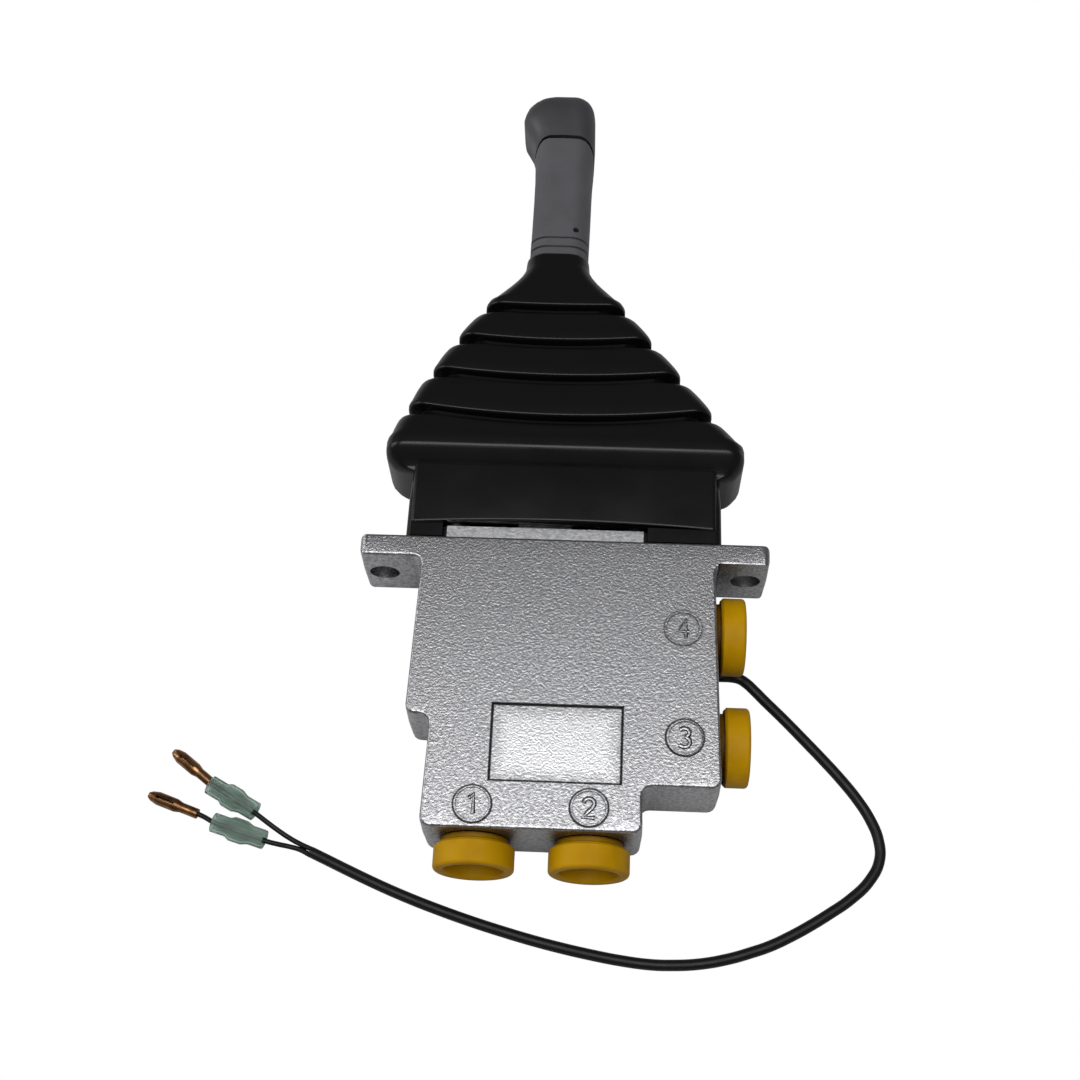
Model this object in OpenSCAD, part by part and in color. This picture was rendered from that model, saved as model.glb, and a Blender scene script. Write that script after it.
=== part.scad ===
// Single-axis hydraulic pilot control lever with two pressure ports, 1 and 2.
// The parts are drawn upright: X across the flange, Z up the lever, -Y towards the stamped face.
// The finished part lies on its back, so that module turns +Z of the drawing into +Y of the model.
// Origin: middle of the two mounting holes, on the top face of the flange.

/* [Body casting] */
// Width across the two mounting ears
flange_w = 121.4; // [116:0.2:136]
// Depth of the casting from its stamped face to its back
body_d = 26.4; // [26:0.2:30]
// Thickness of the ear that stays as cast
ear_t = 7.2; // [6.8:0.1:9]
// Thickness of the ear that is machined flat below
ear_cut_t = 6.5; // [5:0.1:6.7]
// Rounding of the ears' corners, seen from above
ear_corner_r = 2.4; // [2:0.1:5]
// Distance from the flange's middle to the left side of the block, just below the ear
block_left = 42.2; // [40:0.2:46]
// Distance from the flange's middle to the right side of the block, just below the ear
block_right = 44.7; // [44:0.1:46]
// Slant of the block's sides in degrees, wider towards the bottom
flare = 1.8; // [0:0.1:2]
// Height of the whole casting below the flange's top
body_h = 88.3; // [84:0.1:96]
// Depth of the step on the left side, below the flange's top
left_step_z = 55.9; // [50:0.1:60]
// Depth of the step on the right side, below the flange's top
right_step_z = 74.8; // [72:0.1:78]
// Distance from the flange's middle to the left side below its step
low_left = 36.4; // [34:0.2:39]
// Distance from the flange's middle to the right side below its step
low_right = 24.6; // [22:0.2:28]
// Rounding of the cast edges
edge_r = 0.9; // [0.6:0.1:2.4]
// Draft of each cast side, from the parting line to the face
draft = 0.25; // [0:0.05:0.5]
// Distance from each ear's end to its mounting hole
ear_hole_in = 6.5; // [6:0.1:7]
// Diameter of the mounting holes
hole_d = 9; // [7:0.1:9.4]
// Width of the bare recess on the stamped face
recess_w = 37.2; // [30:0.2:40]
// Height of the bare recess on the stamped face
recess_h = 22.7; // [16:0.1:24]
// Depth of the bare recess on the stamped face
recess_t = 0.6; // [0.3:0.1:1]
// Height of the middle of the recess above the casting's bottom
recess_up = 25.2; // [22:0.1:30]
// Radius of the raised rings that mark the ports
ring_r = 5.4; // [4.5:0.1:6]

/* [Ports and plugs] */
// Diameter of the ports for the hose fittings
port_d = 16.2; // [14:0.1:17]
// Depth of the ports for the hose fittings
port_l = 12.5; // [10:0.5:13]
// Depth of the tank port's axis below the flange's top
tank_z = 24.6; // [24:0.1:26]
// Height of the pressure port's axis above the casting's bottom
pressure_up = 29.7; // [27:0.1:30]
// Diameter of the drilled galleries
gallery_d = 8; // [5:0.1:9]
// Outer diameter of the plastic port plugs
plug_d = 23; // [22:0.1:24]
// Height of the plugs' heads
plug_h = 7.3; // [6:0.1:10]
// Diameter of the plugs' necks
plug_neck_d = 19.4; // [18:0.1:21]
// Height of the plugs' necks
plug_neck_h = 1.8; // [1.6:0.1:4]
// Diameter of the hollow in the plugs
plug_hollow_d = 16.8; // [12:0.1:18]
// Gap between the plugs' stems and the ports
plug_fit = 0.15; // [0.05:0.05:0.3]

/* [Lever axis and rocker] */
// Place of the lever's axis, measured from the flange's middle
lever_x = -6; // [-8:0.5:-4]
// Distance between the two valves
valve_pitch = 32.4; // [31:0.1:34]
// Height of the pivot above the flange's top
pivot_h = 14; // [13.8:0.1:16]
// Diameter of the pivot pin
pin_d = 6; // [4:0.1:7]
// Gap all round a shaft that turns or slides in its hole
run_fit = 0.03; // [0.02:0.01:0.06]
// Room between the bracket's ears and the casting's two faces
ear_room = 3.6; // [3.4:0.1:4.2]
// Diameter of the rocker's hub
hub_d = 16; // [14:0.5:17]
// Radius of the rocker's two noses
nose_r = 4; // [3:0.1:4.2]
// Gap between a nose and its pusher, lever upright
nose_gap = 0.3; // [0.2:0.05:0.5]
// Thickness of the bracket's plate
plate_t = 4; // [3:0.1:4.2]
// How far the bracket's plate reaches past the guide bushes
plate_margin = 5.8; // [3.4:0.1:7]
// Thickness of the bracket's ears
bracket_ear_t = 3.6; // [2.5:0.1:3.8]
// Diameter of the bracket screws
screw_d = 4; // [3:0.1:4.4]
// Length of the bracket screws below their heads
screw_l = 14; // [10:1:20]

/* [Valves] */
// Diameter of the pushers
pusher_d = 9; // [7:0.1:9.4]
// Outer diameter of the guide bushes
bush_d = 17; // [15.6:0.1:17]
// Length of the guide bushes
bush_l = 14; // [12:0.1:14.2]
// Room above the pusher's collar
lift_room = 6; // [5.8:0.1:7]
// Thickness of the pusher's collar
collar_t = 3; // [2:0.1:3.5]
// Diameter of the spring chambers
chamber_d = 15; // [14.4:0.1:15.4]
// Depth of the spring chambers below the flange's top
chamber_l = 46; // [45:0.1:48]
// Thickness of the spring seats' flange
seat_t = 2; // [1.5:0.1:2.4]
// Diameter of the spools
spool_d = 7; // [6:0.1:8]
// Thickness of the spools' heads
spool_head_t = 1.8; // [1.2:0.1:2.4]
// Wire of the return springs
return_wire = 1.6; // [1.2:0.1:1.8]
// Wire of the metering springs
metering_wire = 1.2; // [0.8:0.1:1.3]

/* [Boot] */
// Half width of the boot's band above the flange
band_hw = 46.9; // [46:0.1:50]
// Height of the boot's band
band_h = 25.6; // [24:0.1:27]
// Half width of the boot's rim
rim_hw = 54.6; // [53:0.1:57]
// Height of the rim's widest part
rim_z = 29.5; // [29:0.1:31]
// Step in half width from one pleat to the next
pleat_step = 8.25; // [8:0.05:8.6]
// Step in half width from the rim to the first pleat
first_step = 7.8; // [7.4:0.1:8.2]
// Distance from the rim to the first pleat
pleat_rise = 14; // [13:0.1:14.4]
// Depth of the fold between two pleats
fold_depth = 3.4; // [2.6:0.1:4]
// Wall of the boot
boot_wall = 1.8; // [1.2:0.1:2]
// Height of the top of the boot's collar
collar_z = 100.6; // [100:0.1:102]
// How far the boot's pleats stand out in front of the casting
boot_proud = 1.2; // [0.6:0.1:2]

/* [Grip] */
// Width of the grip
grip_w = 18.6; // [17:0.1:20]
// Depth of the grip
grip_d = 22; // [20:0.1:23]
// Rounding of the grip's corners
grip_r = 5.7; // [4:0.1:6.5]
// Height of the grip's lower end
grip_z = 92; // [90:0.5:94]
// Height of the joint between grip and head, in the middle
joint_z = 146.4; // [145:0.1:147]
// Height of the top of the head
head_z = 166.6; // [166:0.1:170]
// Gap along the joint between grip and head
joint_gap = 0.4; // [0.2:0.1:0.5]
// Height where the head's two wings end on the sides of the grip
wing_z = 138; // [136:0.1:140]
// Thickness of the head's two wings
wing_t = 1; // [0.8:0.1:1.4]
// Diameter of the lever rod
rod_d = 10; // [9:0.1:10.4]
// Diameter of the rod's threaded foot
stud_d = 8; // [6:0.1:8.4]
// Diameter of the pin that locks the grip on the rod
lock_pin_d = 1.8; // [1.2:0.1:2]
// Diameter of the push button
button_d = 9; // [7:0.1:9.4]
// How far the push button stands out
button_proud = 1.2; // [0.8:0.1:2]
// Travel of the push button
button_travel = 1.5; // [1:0.1:2]
// Diameter of the switch below the button
switch_d = 11; // [10.6:0.1:11.4]

/* [Lead] */
// Diameter of the lead's sheath
sheath_d = 3.2; // [2.4:0.1:3.4]
// Diameter of the two wires
wire_d = 1.5; // [1:0.1:1.6]
// Diameter of the bullet terminals
bullet_d = 3.9; // [3.4:0.1:4.2]
// Widest diameter of the terminals' sleeves
sleeve_d = 7.1; // [6.4:0.1:7.2]
// Wall of the terminals' sleeves
sleeve_wall = 0.8; // [0.5:0.1:1]

/* [Hidden] */
$fn = 48;
cut = 1;                                   // how far a cutter runs past the face it cuts
floor_z = -body_d / 2;                     // what the part lies on
face_y = -body_d / 2;                      // the stamped face
back_y = body_d / 2;                       // the back of the casting
valve_off = valve_pitch / 2;               // from the lever's axis to each valve
hole_x = flange_w / 2 - ear_hole_in;       // from the flange's middle to each mounting hole
pressure_z = body_h - pressure_up;         // the pressure port's axis, below the flange's top

// How far out a slanted side stands at a depth z, when it stands at x at the depth z0
function flared(x, z0, z) = x + tan(flare) * (z - z0);
function right_x(z) = flared(block_right, ear_t, z);
// Seat of a round fitting on the right side, milled flat over its width
function seat_x(z, width) = right_x(z - width / 2) - draft;

// heights down one valve, lever upright
pusher_top = pivot_h - nose_r - nose_gap;
collar_top = -(bush_l + lift_room);
collar_low = collar_top - collar_t;
seat_low = collar_low - seat_t;
spool_head_z = -36;
head_low = spool_head_z - spool_head_t;
spool_low = -(body_h - port_l) + 2.2;
collar_d = chamber_d - 2;
seat_d = chamber_d - 0.6;
stem_d = 5;
spool_head_d = 9.4;
seal_t = 3;
seal_d = bush_d - 4;
ring_groove = 1.8;

// the pivot and what it carries
rocker_t = body_d - 2 * (bracket_ear_t + ear_room);
ear_y0 = rocker_t / 2 + 0.3;
ear_y1 = ear_y0 + bracket_ear_t;
ear_hw = 8;
clip_t = 0.6;
pin_end = ear_y1 + clip_t + 0.2;
plate_d = body_d - 4.8;
plate_w = 2 * (valve_off + bush_d / 2 + plate_margin);
screw_head_d = 7;
screw_x = plate_w / 2 - screw_head_d / 2 - 0.3;
screw_y = plate_d / 2 - screw_head_d / 2;
boss_d = rocker_t;
boss_h = 12;
boss_top = pivot_h + boss_h;
nut_t = 5;
nut_af = 13;
rod_top = 131;
lock_z = 110.4;
lock_x = lever_x + rod_d / 2 + lock_pin_d / 2 - 0.5;

// the head and its switch
head_x = lever_x - 1.6;
switch_y = 4;
switch_low = 141;
switch_top = 155;
button_flange_z = 159.6;
dish = 1;

// where the lead leaves the casting, in the drawing's axes
exit_z = -33.3;
exit_y = 10.4;
passage_x = 30;
passage_d = 4;
grommet_t = 1;
grommet_d = 5.2;
grommet_x = seat_x(-exit_z, grommet_d);
lead_x = grommet_x + grommet_t;

// Route of the sheath as the part lies: across, along the lever, up
SHEATH = [[lead_x, exit_z, -exit_y], [48.2, -33.3, -10.4], [50.6, -33.1, -11],
          [53.4, -33.4, -11.6], [55.6, -34.8, -11.6], [57.7, -36.8, -11.6], [60.6, -39.8, -11.6],
          [66.6, -45.8, -11.6], [72.2, -51.7, -11.6], [77.8, -57.7, -11.6],
          [83, -63.6, -11.6], [87.5, -69.4, -11.6], [91, -75.2, -11.6],
          [93.1, -81, -11.6], [93.2, -86.8, -11.6], [90.2, -92.8, -11.6], [84.6, -98.4, -11.6],
          [78.6, -102.7, -11.6], [72.9, -106.4, -11.6], [67.2, -109.7, -11.6], [61.6, -112.5, -11.6],
          [56, -114.6, -11.6], [50.4, -116.4, -11.6], [42, -118.2, -11.6], [33.6, -118.9, -11.6],
          [28, -118.9, -11.6], [19.6, -118.1, -11.6], [11.2, -116.8, -11.6], [2.7, -115.2, -11.6],
          [-5.9, -113.3, -11.6], [-14.5, -111.1, -11.6], [-23.1, -108.7, -11.6], [-31.8, -106, -11.6],
          [-40.6, -103, -11.6], [-49.5, -99.6, -11.6], [-58.5, -95.8, -11.6], [-67.6, -91.8, -11.6],
          [-70.4, -90.6, -11.6]];
// Routes of the two wires, from the end of the sheath to the terminals
WIRE_A = [[-70.1, -89.8, -11.9], [-73.8, -88.2, -12.4], [-77, -86.6, -12.4], [-80, -84.9, -11.8],
          [-83.4, -82.8, -10.9], [-87, -80.4, -10.4], [-91, -78, -10.2], [-95, -75.8, -10.2],
          [-98.8, -73.4, -10.4], [-101, -72, -10.7], [-102.3, -70.8, -11.2], [-103.4, -70, -11.2]];
WIRE_B = [[-70.8, -91.3, -11.9], [-73.6, -89.9, -12.4], [-77, -89.1, -12.4], [-80, -88.8, -11.4],
          [-83.6, -88.2, -10.5], [-88, -86.8, -10.3], [-92.6, -85.4, -10.3], [-97, -84.1, -10.4],
          [-99.8, -83, -10.7], [-102.2, -81.7, -11.2], [-104.4, -80.8, -11.2], [-105.8, -80.3, -11.2]];
// Both ends of each sleeve and the tip and tail of each terminal, as the part lies
SLEEVE_A = [[-87.3, -79.9], [-101.3, -72.4]];
SLEEVE_B = [[-83.7, -88.1], [-99.1, -83.5]];
TERMINAL_A = [[-101.7, -71.2], [-113.8, -62.2]];
TERMINAL_B = [[-104.4, -80.8], [-119.4, -75.6]];

// Small tools

// Turns the upright drawing onto its back
module lying() {
    rotate([-90, 0, 0]) children();
}

function unit(v) = v / norm(v);
function inward(a, b) = let (u = unit(b - a)) [-u[1], u[0]];
function turns_left(a, b, c) = (b[0] - a[0]) * (c[1] - b[1]) - (b[1] - a[1]) * (c[0] - b[0]) > 0;

// Points of an outline whose corners [x, y, radius] are rounded, drawn in by inset
function rounded(corners, inset = 0, steps = 5) =
    let (n = len(corners), xy = [for (c = corners) [c[0], c[1]]])
    [for (i = [0:n - 1])
        let (a = xy[(i + n - 1) % n], b = xy[i], c = xy[(i + 1) % n],
             n1 = inward(a, b), n2 = inward(b, c),
             side = turns_left(a, b, c) ? -1 : 1,
             r = max(0.05, corners[i][2] + side * inset),
             turn = acos(n1 * n2),
             centre = b + (inset - side * r) * (n1 + n2) / (1 + n1 * n2))
        for (k = [0:steps])
            let (t = turn * k / steps)
                centre + side * r * (n1 * sin(turn - t) + n2 * sin(t)) / sin(turn)];

// A rounded rectangle between two sides, a front and a back
function slab(x0, x1, y0, y1, r, steps = 5) =
    rounded([[x0, y0, r], [x1, y0, r], [x1, y1, r], [x0, y1, r]], 0, steps);

function lift(points, z) = [for (p = points) [p[0], p[1], z]];

// A solid through a stack of rings, the lowest first, each counter-clockwise from above
// Its two ends are fans around the points low_hub and high_hub
module loft(rings, low_hub, high_hub) {
    n = len(rings[0]);
    m = len(rings);
    sides = [for (j = [0:m - 2]) for (i = [0:n - 1])
        let (a = j * n + i, b = j * n + (i + 1) % n) each [[a, b + n, b], [a, a + n, b + n]]];
    low = [for (i = [0:n - 1]) [i, (i + 1) % n, m * n]];
    high = [for (i = [0:n - 1]) [(m - 1) * n + (i + 1) % n, (m - 1) * n + i, m * n + 1]];
    polyhedron(concat([for (r = rings) each r], [low_hub, high_hub]), concat(sides, low, high),
        convexity = 6);
}

function middle(points) = let (share = [for (p = points) 1 / len(points)])
    [for (k = [0:2]) [for (p = points) p[k]] * share];

// The same, for rings that are round or square enough to fan around their own middles
module simple_loft(rings) {
    loft(rings, middle(rings[0]), middle(rings[len(rings) - 1]));
}

// A round tube along a route
function heading(p, i) = unit(p[min(i + 1, len(p) - 1)] - p[max(i - 1, 0)]);
function tube_ring(p, i, r, sides) =
    let (t = heading(p, i), s = unit(cross(t, [0, 0, 1])), w = cross(t, s))
    [for (k = [0:sides - 1]) p[i] + r * (cos(360 * k / sides) * s + sin(360 * k / sides) * w)];
module tube(route, d, sides = 8) {
    simple_loft([for (i = [0:len(route) - 1]) tube_ring(route, i, d / 2, sides)]);
}

// A compression spring between two heights
module spring(mean_d, wire, z0, z1, turns, per_turn = 14, sides = 6) {
    steps = turns * per_turn;
    rise = z1 - z0 - wire;
    tube([for (i = [0:steps])
        [mean_d / 2 * cos(360 * i / per_turn), mean_d / 2 * sin(360 * i / per_turn),
         z0 + wire / 2 + rise * i / steps]], wire, sides);
}

// Stands its children on the axis of valve 1 (side -1) or valve 2 (side 1)
module at_valve(side) {
    translate([lever_x + side * valve_off, 0, 0]) children();
}

// Turns an axis that points up into one that points out of the right side
module to_right() {
    rotate([0, 90, 0]) children();
}

// Turns an axis that points up into one that points at the stamped face
module to_front() {
    rotate([90, 0, 0]) children();
}

// Body casting

casting_corners = [
    [-flared(low_left, left_step_z, body_h), -body_h, 3],
    [flared(low_right, right_step_z, body_h), -body_h, 3],
    [low_right, -right_step_z, 2.5], [right_x(right_step_z), -right_step_z, 3],
    [block_right, -ear_t, 2.5], [flange_w / 2, -ear_t, 2],
    [flange_w / 2, 0, 2], [-flange_w / 2, 0, 2],
    [-flange_w / 2, -ear_t, 2], [-block_left, -ear_t, 2.5],
    [-flared(block_left, ear_t, left_step_z), -left_step_z, 3], [-low_left, -left_step_z, 3]];

// One outline of the casting, at a depth and drawn in by its draft and rounding
function casting_ring(y, inset) = [for (p = rounded(casting_corners, inset, 4)) [p[0], y, p[1]]];

module casting_blank() {
    bends = [90, 60, 30, 0];
    back = [for (a = bends)
        casting_ring(back_y - edge_r + edge_r * sin(a), draft + edge_r * (1 - cos(a)))];
    front = [for (i = [len(bends) - 1:-1:0])
        casting_ring(face_y + edge_r - edge_r * sin(bends[i]), draft + edge_r * (1 - cos(bends[i])))];
    hub = [lever_x, -0.6 * ear_t];        // sees the whole outline
    loft(concat(back, [casting_ring(0, 0)], front),
        [hub[0], back_y, hub[1]], [hub[0], face_y, hub[1]]);
}

// A port with its flat seat, opening downwards at the origin
module port() {
    translate([0, 0, -cut]) cylinder(d = port_d, h = port_l + cut);
}

module valve_bores(side) {
    at_valve(side) {
        translate([0, 0, -bush_l]) cylinder(d = bush_d, h = bush_l + cut);
        translate([0, 0, -chamber_l]) cylinder(d = chamber_d, h = chamber_l);
        translate([0, 0, -body_h + port_l - cut])
            cylinder(d = spool_d + 2 * run_fit, h = body_h - port_l - chamber_l + 2 * cut);
        translate([0, 0, -body_h]) port();
    }
}

// A side port at a depth, and the gallery that joins it to both valves
module side_port(z) {
    reach = block_right - lever_x + valve_off;
    translate([seat_x(z, plug_neck_d), 0, -z]) to_right() rotate([180, 0, 0]) {
        translate([0, 0, -2]) cylinder(d = plug_neck_d + 1, h = 2);
        port();
        cylinder(d = gallery_d, h = reach);
    }
}

module ear_corner(sx, sy) {
    mirror([sx, 0, 0]) mirror([0, sy, 0])
        translate([flange_w / 2 - ear_corner_r, body_d / 2 - ear_corner_r, -ear_t - cut]) difference() {
            cube([ear_corner_r + cut, ear_corner_r + cut, ear_t + 2 * cut]);
            translate([0, 0, -cut]) cylinder(r = ear_corner_r, h = ear_t + 4 * cut);
        }
}

mark_in = 10.1;                            // from the block's side to the side ports' marks
mark_up = 6.9;                             // from the casting's bottom to the lower ports' marks
mark_left = 0.4;                           // how far the marks sit left of the lower ports
ring_places = [[right_x(tank_z) - mark_in, -tank_z - 2.7],
    [right_x(pressure_z) - mark_in, -pressure_z - 1.6],
    [lever_x - valve_off - mark_left, mark_up - body_h], [lever_x + valve_off - mark_left, mark_up - body_h]];

module port_rings() {
    for (p = ring_places)
        translate([p[0], face_y + 0.3, p[1]]) to_front() difference() {
            cylinder(r = ring_r, h = 0.7);
            translate([0, 0, -cut]) cylinder(r = ring_r - 0.6, h = 1 + 2 * cut);
        }
}

module body_casting() {
    color("#b9babd") lying() {
        difference() {
            casting_blank();
            for (side = [-1, 1]) {
                valve_bores(side);
                translate([side * hole_x, 0, -ear_t - cut])
                    cylinder(d = hole_d, h = ear_t + 2 * cut);
                for (sy = [0, 1]) ear_corner(side < 0 ? 1 : 0, sy);
            }
            side_port(tank_z);
            side_port(pressure_z);
            // the underside of the right ear, milled flat up to the block
            translate([block_right + 0.6, -body_d, -ear_cut_t - 6]) cube([flange_w, 2 * body_d, 6]);
            // the bare recess on the stamped face
            translate([-recess_w / 2, face_y - cut, recess_up - body_h - recess_h / 2])
                cube([recess_w, cut + recess_t, recess_h]);
            // the passage for the lead, down from the boot and out to the right
            translate([passage_x, exit_y, exit_z - passage_d / 2])
                cylinder(d = passage_d, h = -exit_z + passage_d / 2 + cut);
            translate([passage_x, exit_y, exit_z]) to_right() cylinder(d = passage_d, h = block_right);
            translate([grommet_x, exit_y, exit_z]) to_right() cylinder(d = grommet_d + 0.6, h = 2);
            for (sx = [-1, 1], sy = [-1, 1])
                translate([lever_x + sx * screw_x, sy * screw_y, -screw_l + plate_t - 1])
                    cylinder(d = screw_d, h = screw_l + cut);
        }
        port_rings();
    }
}

// Bracket that carries the pivot and holds down the bushes

module bracket_plate() {
    bevel = 1.2;
    difference() {
        linear_extrude(height = plate_t)
            polygon([[-plate_w / 2, -plate_d / 2 + bevel], [-plate_w / 2 + bevel, -plate_d / 2],
                     [plate_w / 2 - bevel, -plate_d / 2], [plate_w / 2, -plate_d / 2 + bevel],
                     [plate_w / 2, plate_d / 2 - bevel], [plate_w / 2 - bevel, plate_d / 2],
                     [-plate_w / 2 + bevel, plate_d / 2], [-plate_w / 2, plate_d / 2 - bevel]]);
        for (side = [-1, 1]) {
            translate([side * valve_off, 0, -cut]) cylinder(d = pusher_d + 0.6, h = plate_t + 2 * cut);
            for (sy = [-1, 1])
                translate([side * screw_x, sy * screw_y, -cut])
                    cylinder(d = screw_d + 0.2, h = plate_t + 2 * cut);
        }
    }
}

module bracket_ear() {
    difference() {
        union() {
            cylinder(r = ear_hw, h = bracket_ear_t);
            translate([-ear_hw, -pivot_h + plate_t, 0]) cube([2 * ear_hw, pivot_h - plate_t, bracket_ear_t]);
        }
        translate([0, 0, -cut]) cylinder(d = pin_d, h = bracket_ear_t + 2 * cut);
    }
}

module pivot_bracket() {
    color("#c9cacc") lying() translate([lever_x, 0, 0]) {
        bracket_plate();
        translate([0, -ear_y0, pivot_h]) to_front() bracket_ear();
        translate([0, ear_y1, pivot_h]) to_front() bracket_ear();
    }
}

module cap_screw(d, head, length) {
    difference() {
        union() {
            cylinder(d = head, h = d);
            translate([0, 0, -length]) cylinder(d = d, h = length);
        }
        translate([0, 0, d / 2]) cylinder(d = d * 0.9, h = d, $fn = 6);
    }
}

module bracket_screws() {
    color("#3c3d40") lying() for (sx = [-1, 1], sy = [-1, 1])
        translate([lever_x + sx * screw_x, sy * screw_y, plate_t])
            cap_screw(screw_d, screw_head_d, screw_l);
}

module pivot_pin() {
    color("#d4d5d8") lying() translate([lever_x, pin_end, pivot_h]) to_front()
        cylinder(d = pin_d, h = 2 * pin_end);
}

module pin_clips() {
    color("#8a8b8e") lying() for (sy = [-1, 1])
        translate([lever_x, sy * (ear_y1 + clip_t / 2) + clip_t / 2, pivot_h]) to_front() difference() {
            cylinder(d = pin_d + 3, h = clip_t);
            translate([0, 0, -cut]) cylinder(d = pin_d, h = clip_t + 2 * cut);
            translate([-pin_d / 4, -pin_d, -cut]) cube([pin_d / 2, pin_d, clip_t + 2 * cut]);
        }
}

// Valves, two alike

module guide_bush(side) {
    color("#b58a4a") lying() at_valve(side) difference() {
        translate([0, 0, -bush_l]) cylinder(d = bush_d, h = bush_l);
        translate([0, 0, -bush_l - cut]) cylinder(d = pusher_d + 2 * run_fit, h = bush_l + 2 * cut);
        translate([0, 0, -seal_t]) cylinder(d = seal_d, h = seal_t + cut);
        translate([0, 0, -bush_l / 2 - 2]) rotate_extrude()
            translate([bush_d / 2 - ring_groove, 0]) square([ring_groove + cut, ring_groove + 0.6]);
    }
}
module guide_bush_1() { guide_bush(-1); }
module guide_bush_2() { guide_bush(1); }

module bush_o_rings() {
    color("#1c1c1d") lying() for (side = [-1, 1]) at_valve(side)
        translate([0, 0, -bush_l / 2 - 2 + ring_groove / 2 + 0.3]) rotate_extrude()
            translate([bush_d / 2 - ring_groove / 2, 0]) circle(d = ring_groove);
}

module wiper_seals() {
    color("#1c1c1d") lying() for (side = [-1, 1]) at_valve(side)
        translate([0, 0, -seal_t]) difference() {
            cylinder(d = seal_d, h = seal_t);
            translate([0, 0, -cut]) cylinder(d = pusher_d + 2 * run_fit, h = seal_t + 2 * cut);
            translate([0, 0, seal_t - 1]) rotate_extrude()
                translate([pusher_d / 2 + 0.8, 0]) square([0.7, 1 + cut]);
        }
}

module pusher(side) {
    color("#d4d5d8") lying() at_valve(side) {
        rotate_extrude() polygon([[0, pusher_top], [pusher_d / 2 - 0.4, pusher_top],
            [pusher_d / 2, pusher_top - 0.4], [pusher_d / 2, collar_top], [collar_d / 2, collar_top],
            [collar_d / 2, collar_low], [0, collar_low]]);
    }
}
module pusher_1() { pusher(-1); }
module pusher_2() { pusher(1); }

module spring_seat(side) {
    color("#b8b9bb") lying() at_valve(side) difference() {
        union() {
            translate([0, 0, seat_low]) cylinder(d = seat_d, h = seat_t);
            translate([0, 0, seat_low - 1.6]) cylinder(d = 10.6, h = 1.7);
        }
        translate([0, 0, seat_low - 1.6 - cut]) cylinder(d = 9, h = 1.6 + cut);
    }
}
module spring_seat_1() { spring_seat(-1); }
module spring_seat_2() { spring_seat(1); }

module return_spring(side) {
    color("#7d7f84") lying() at_valve(side)
        spring(chamber_d - 0.8 - return_wire, return_wire, -chamber_l, seat_low, 6);
}
module return_spring_1() { return_spring(-1); }
module return_spring_2() { return_spring(1); }

module metering_spring(side) {
    color("#7d7f84") lying() at_valve(side)
        spring(8.6 - metering_wire, metering_wire, spool_head_z, seat_low, 4);
}
module metering_spring_1() { metering_spring(-1); }
module metering_spring_2() { metering_spring(1); }

module spool(side) {
    land = spool_d / 2;
    waist = spool_d / 2 - 1.2;
    half_gallery = gallery_d / 2;
    color("#d4d5d8") lying() at_valve(side) difference() {
        rotate_extrude() polygon([[0, spool_head_z], [spool_head_d / 2, spool_head_z],
            [spool_head_d / 2, head_low], [stem_d / 2, head_low],
            [stem_d / 2, -chamber_l], [land, -chamber_l - 1],
            [land, -pressure_z + half_gallery + 1], [waist, -pressure_z + half_gallery],
            [waist, -pressure_z - half_gallery], [land, -pressure_z - half_gallery - 1],
            [land, spool_low], [0, spool_low]]);
        translate([0, 0, spool_low - cut]) cylinder(d = 3, h = -spool_low - pressure_z + half_gallery);
        translate([-spool_d, 0, -pressure_z - half_gallery - 3]) to_right()
            cylinder(d = 1.4, h = 2 * spool_d);
    }
}
module spool_1() { spool(-1); }
module spool_2() { spool(1); }

// A plastic plug for a port, its seat at the origin and its head pointing down
module port_plug() {
    lip = 1.1;
    end = -plug_neck_h - plug_h;
    stem = port_d / 2 - plug_fit;
    color("#c08a14") rotate_extrude() polygon([
        [0, 1.5], [0, -1.2], [plug_hollow_d / 2 - 1, -1.2],
        [plug_hollow_d / 2, end + 0.6], [plug_hollow_d / 2 + 0.6, end],
        each [for (a = [-90:22.5:0]) [plug_d / 2 - lip + lip * cos(a), end + lip + lip * sin(a)]],
        [plug_d / 2, -plug_neck_h - 0.8], [plug_d / 2 - 0.8, -plug_neck_h],
        [plug_neck_d / 2, -plug_neck_h], [plug_neck_d / 2, 0], [stem, 0],
        [stem, port_l - 4], [stem - 1, port_l - 3], [stem - 2.4, port_l - 3], [stem - 2.4, 1.5]]);
}
module plug_1() { lying() at_valve(-1) translate([0, 0, -body_h]) port_plug(); }
module plug_2() { lying() at_valve(1) translate([0, 0, -body_h]) port_plug(); }
module side_plug(z) {
    lying() translate([seat_x(z, plug_neck_d), 0, -z]) to_right() rotate([180, 0, 0]) port_plug();
}
module plug_pressure() { side_plug(pressure_z); }
module plug_tank() { side_plug(tank_z); }

// Boot, a bellows of rounded rectangles that lies on its flattened back

boot_front = body_d / 2 + boot_proud;
function pleat_z(i) = rim_z + pleat_rise * i - 0.375 * i * i;
function pleat_hw(i) = rim_hw - (i > 0 ? first_step + pleat_step * (i - 1) : 0);
function boot_x(i) = lever_x + (4 - i) * (4 - i) * 0.3;
pleat_sag = [0, 3.5, 2.4, 1.8, 0.5];       // how far each pleat's front edge hangs in the middle

// One ring of the boot: height, middle, half width, front, back, corner and sag of its front edge
function boot_ring(z, x, hw, front, back, r, sag = 0) =
    let (s = slab(x - hw, x + hw, -front, back, r, 4), a = s[4], b = s[5], parts = 6,
         flat = concat([for (k = [0:4]) s[k]], [for (k = [1:parts - 1]) a + (b - a) * k / parts],
             [for (k = [5:len(s) - 1]) s[k]]))
    [for (p = flat) let (off = min(1, abs(p[0] - x) / hw), toward = max(0, -p[1] / front))
        [p[0], p[1], z - sag * (1 - off * off) * toward]];

band_x = -0.5;
band_front = body_d / 2 + 0.2;
rim_front = boot_front + 0.6;
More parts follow.
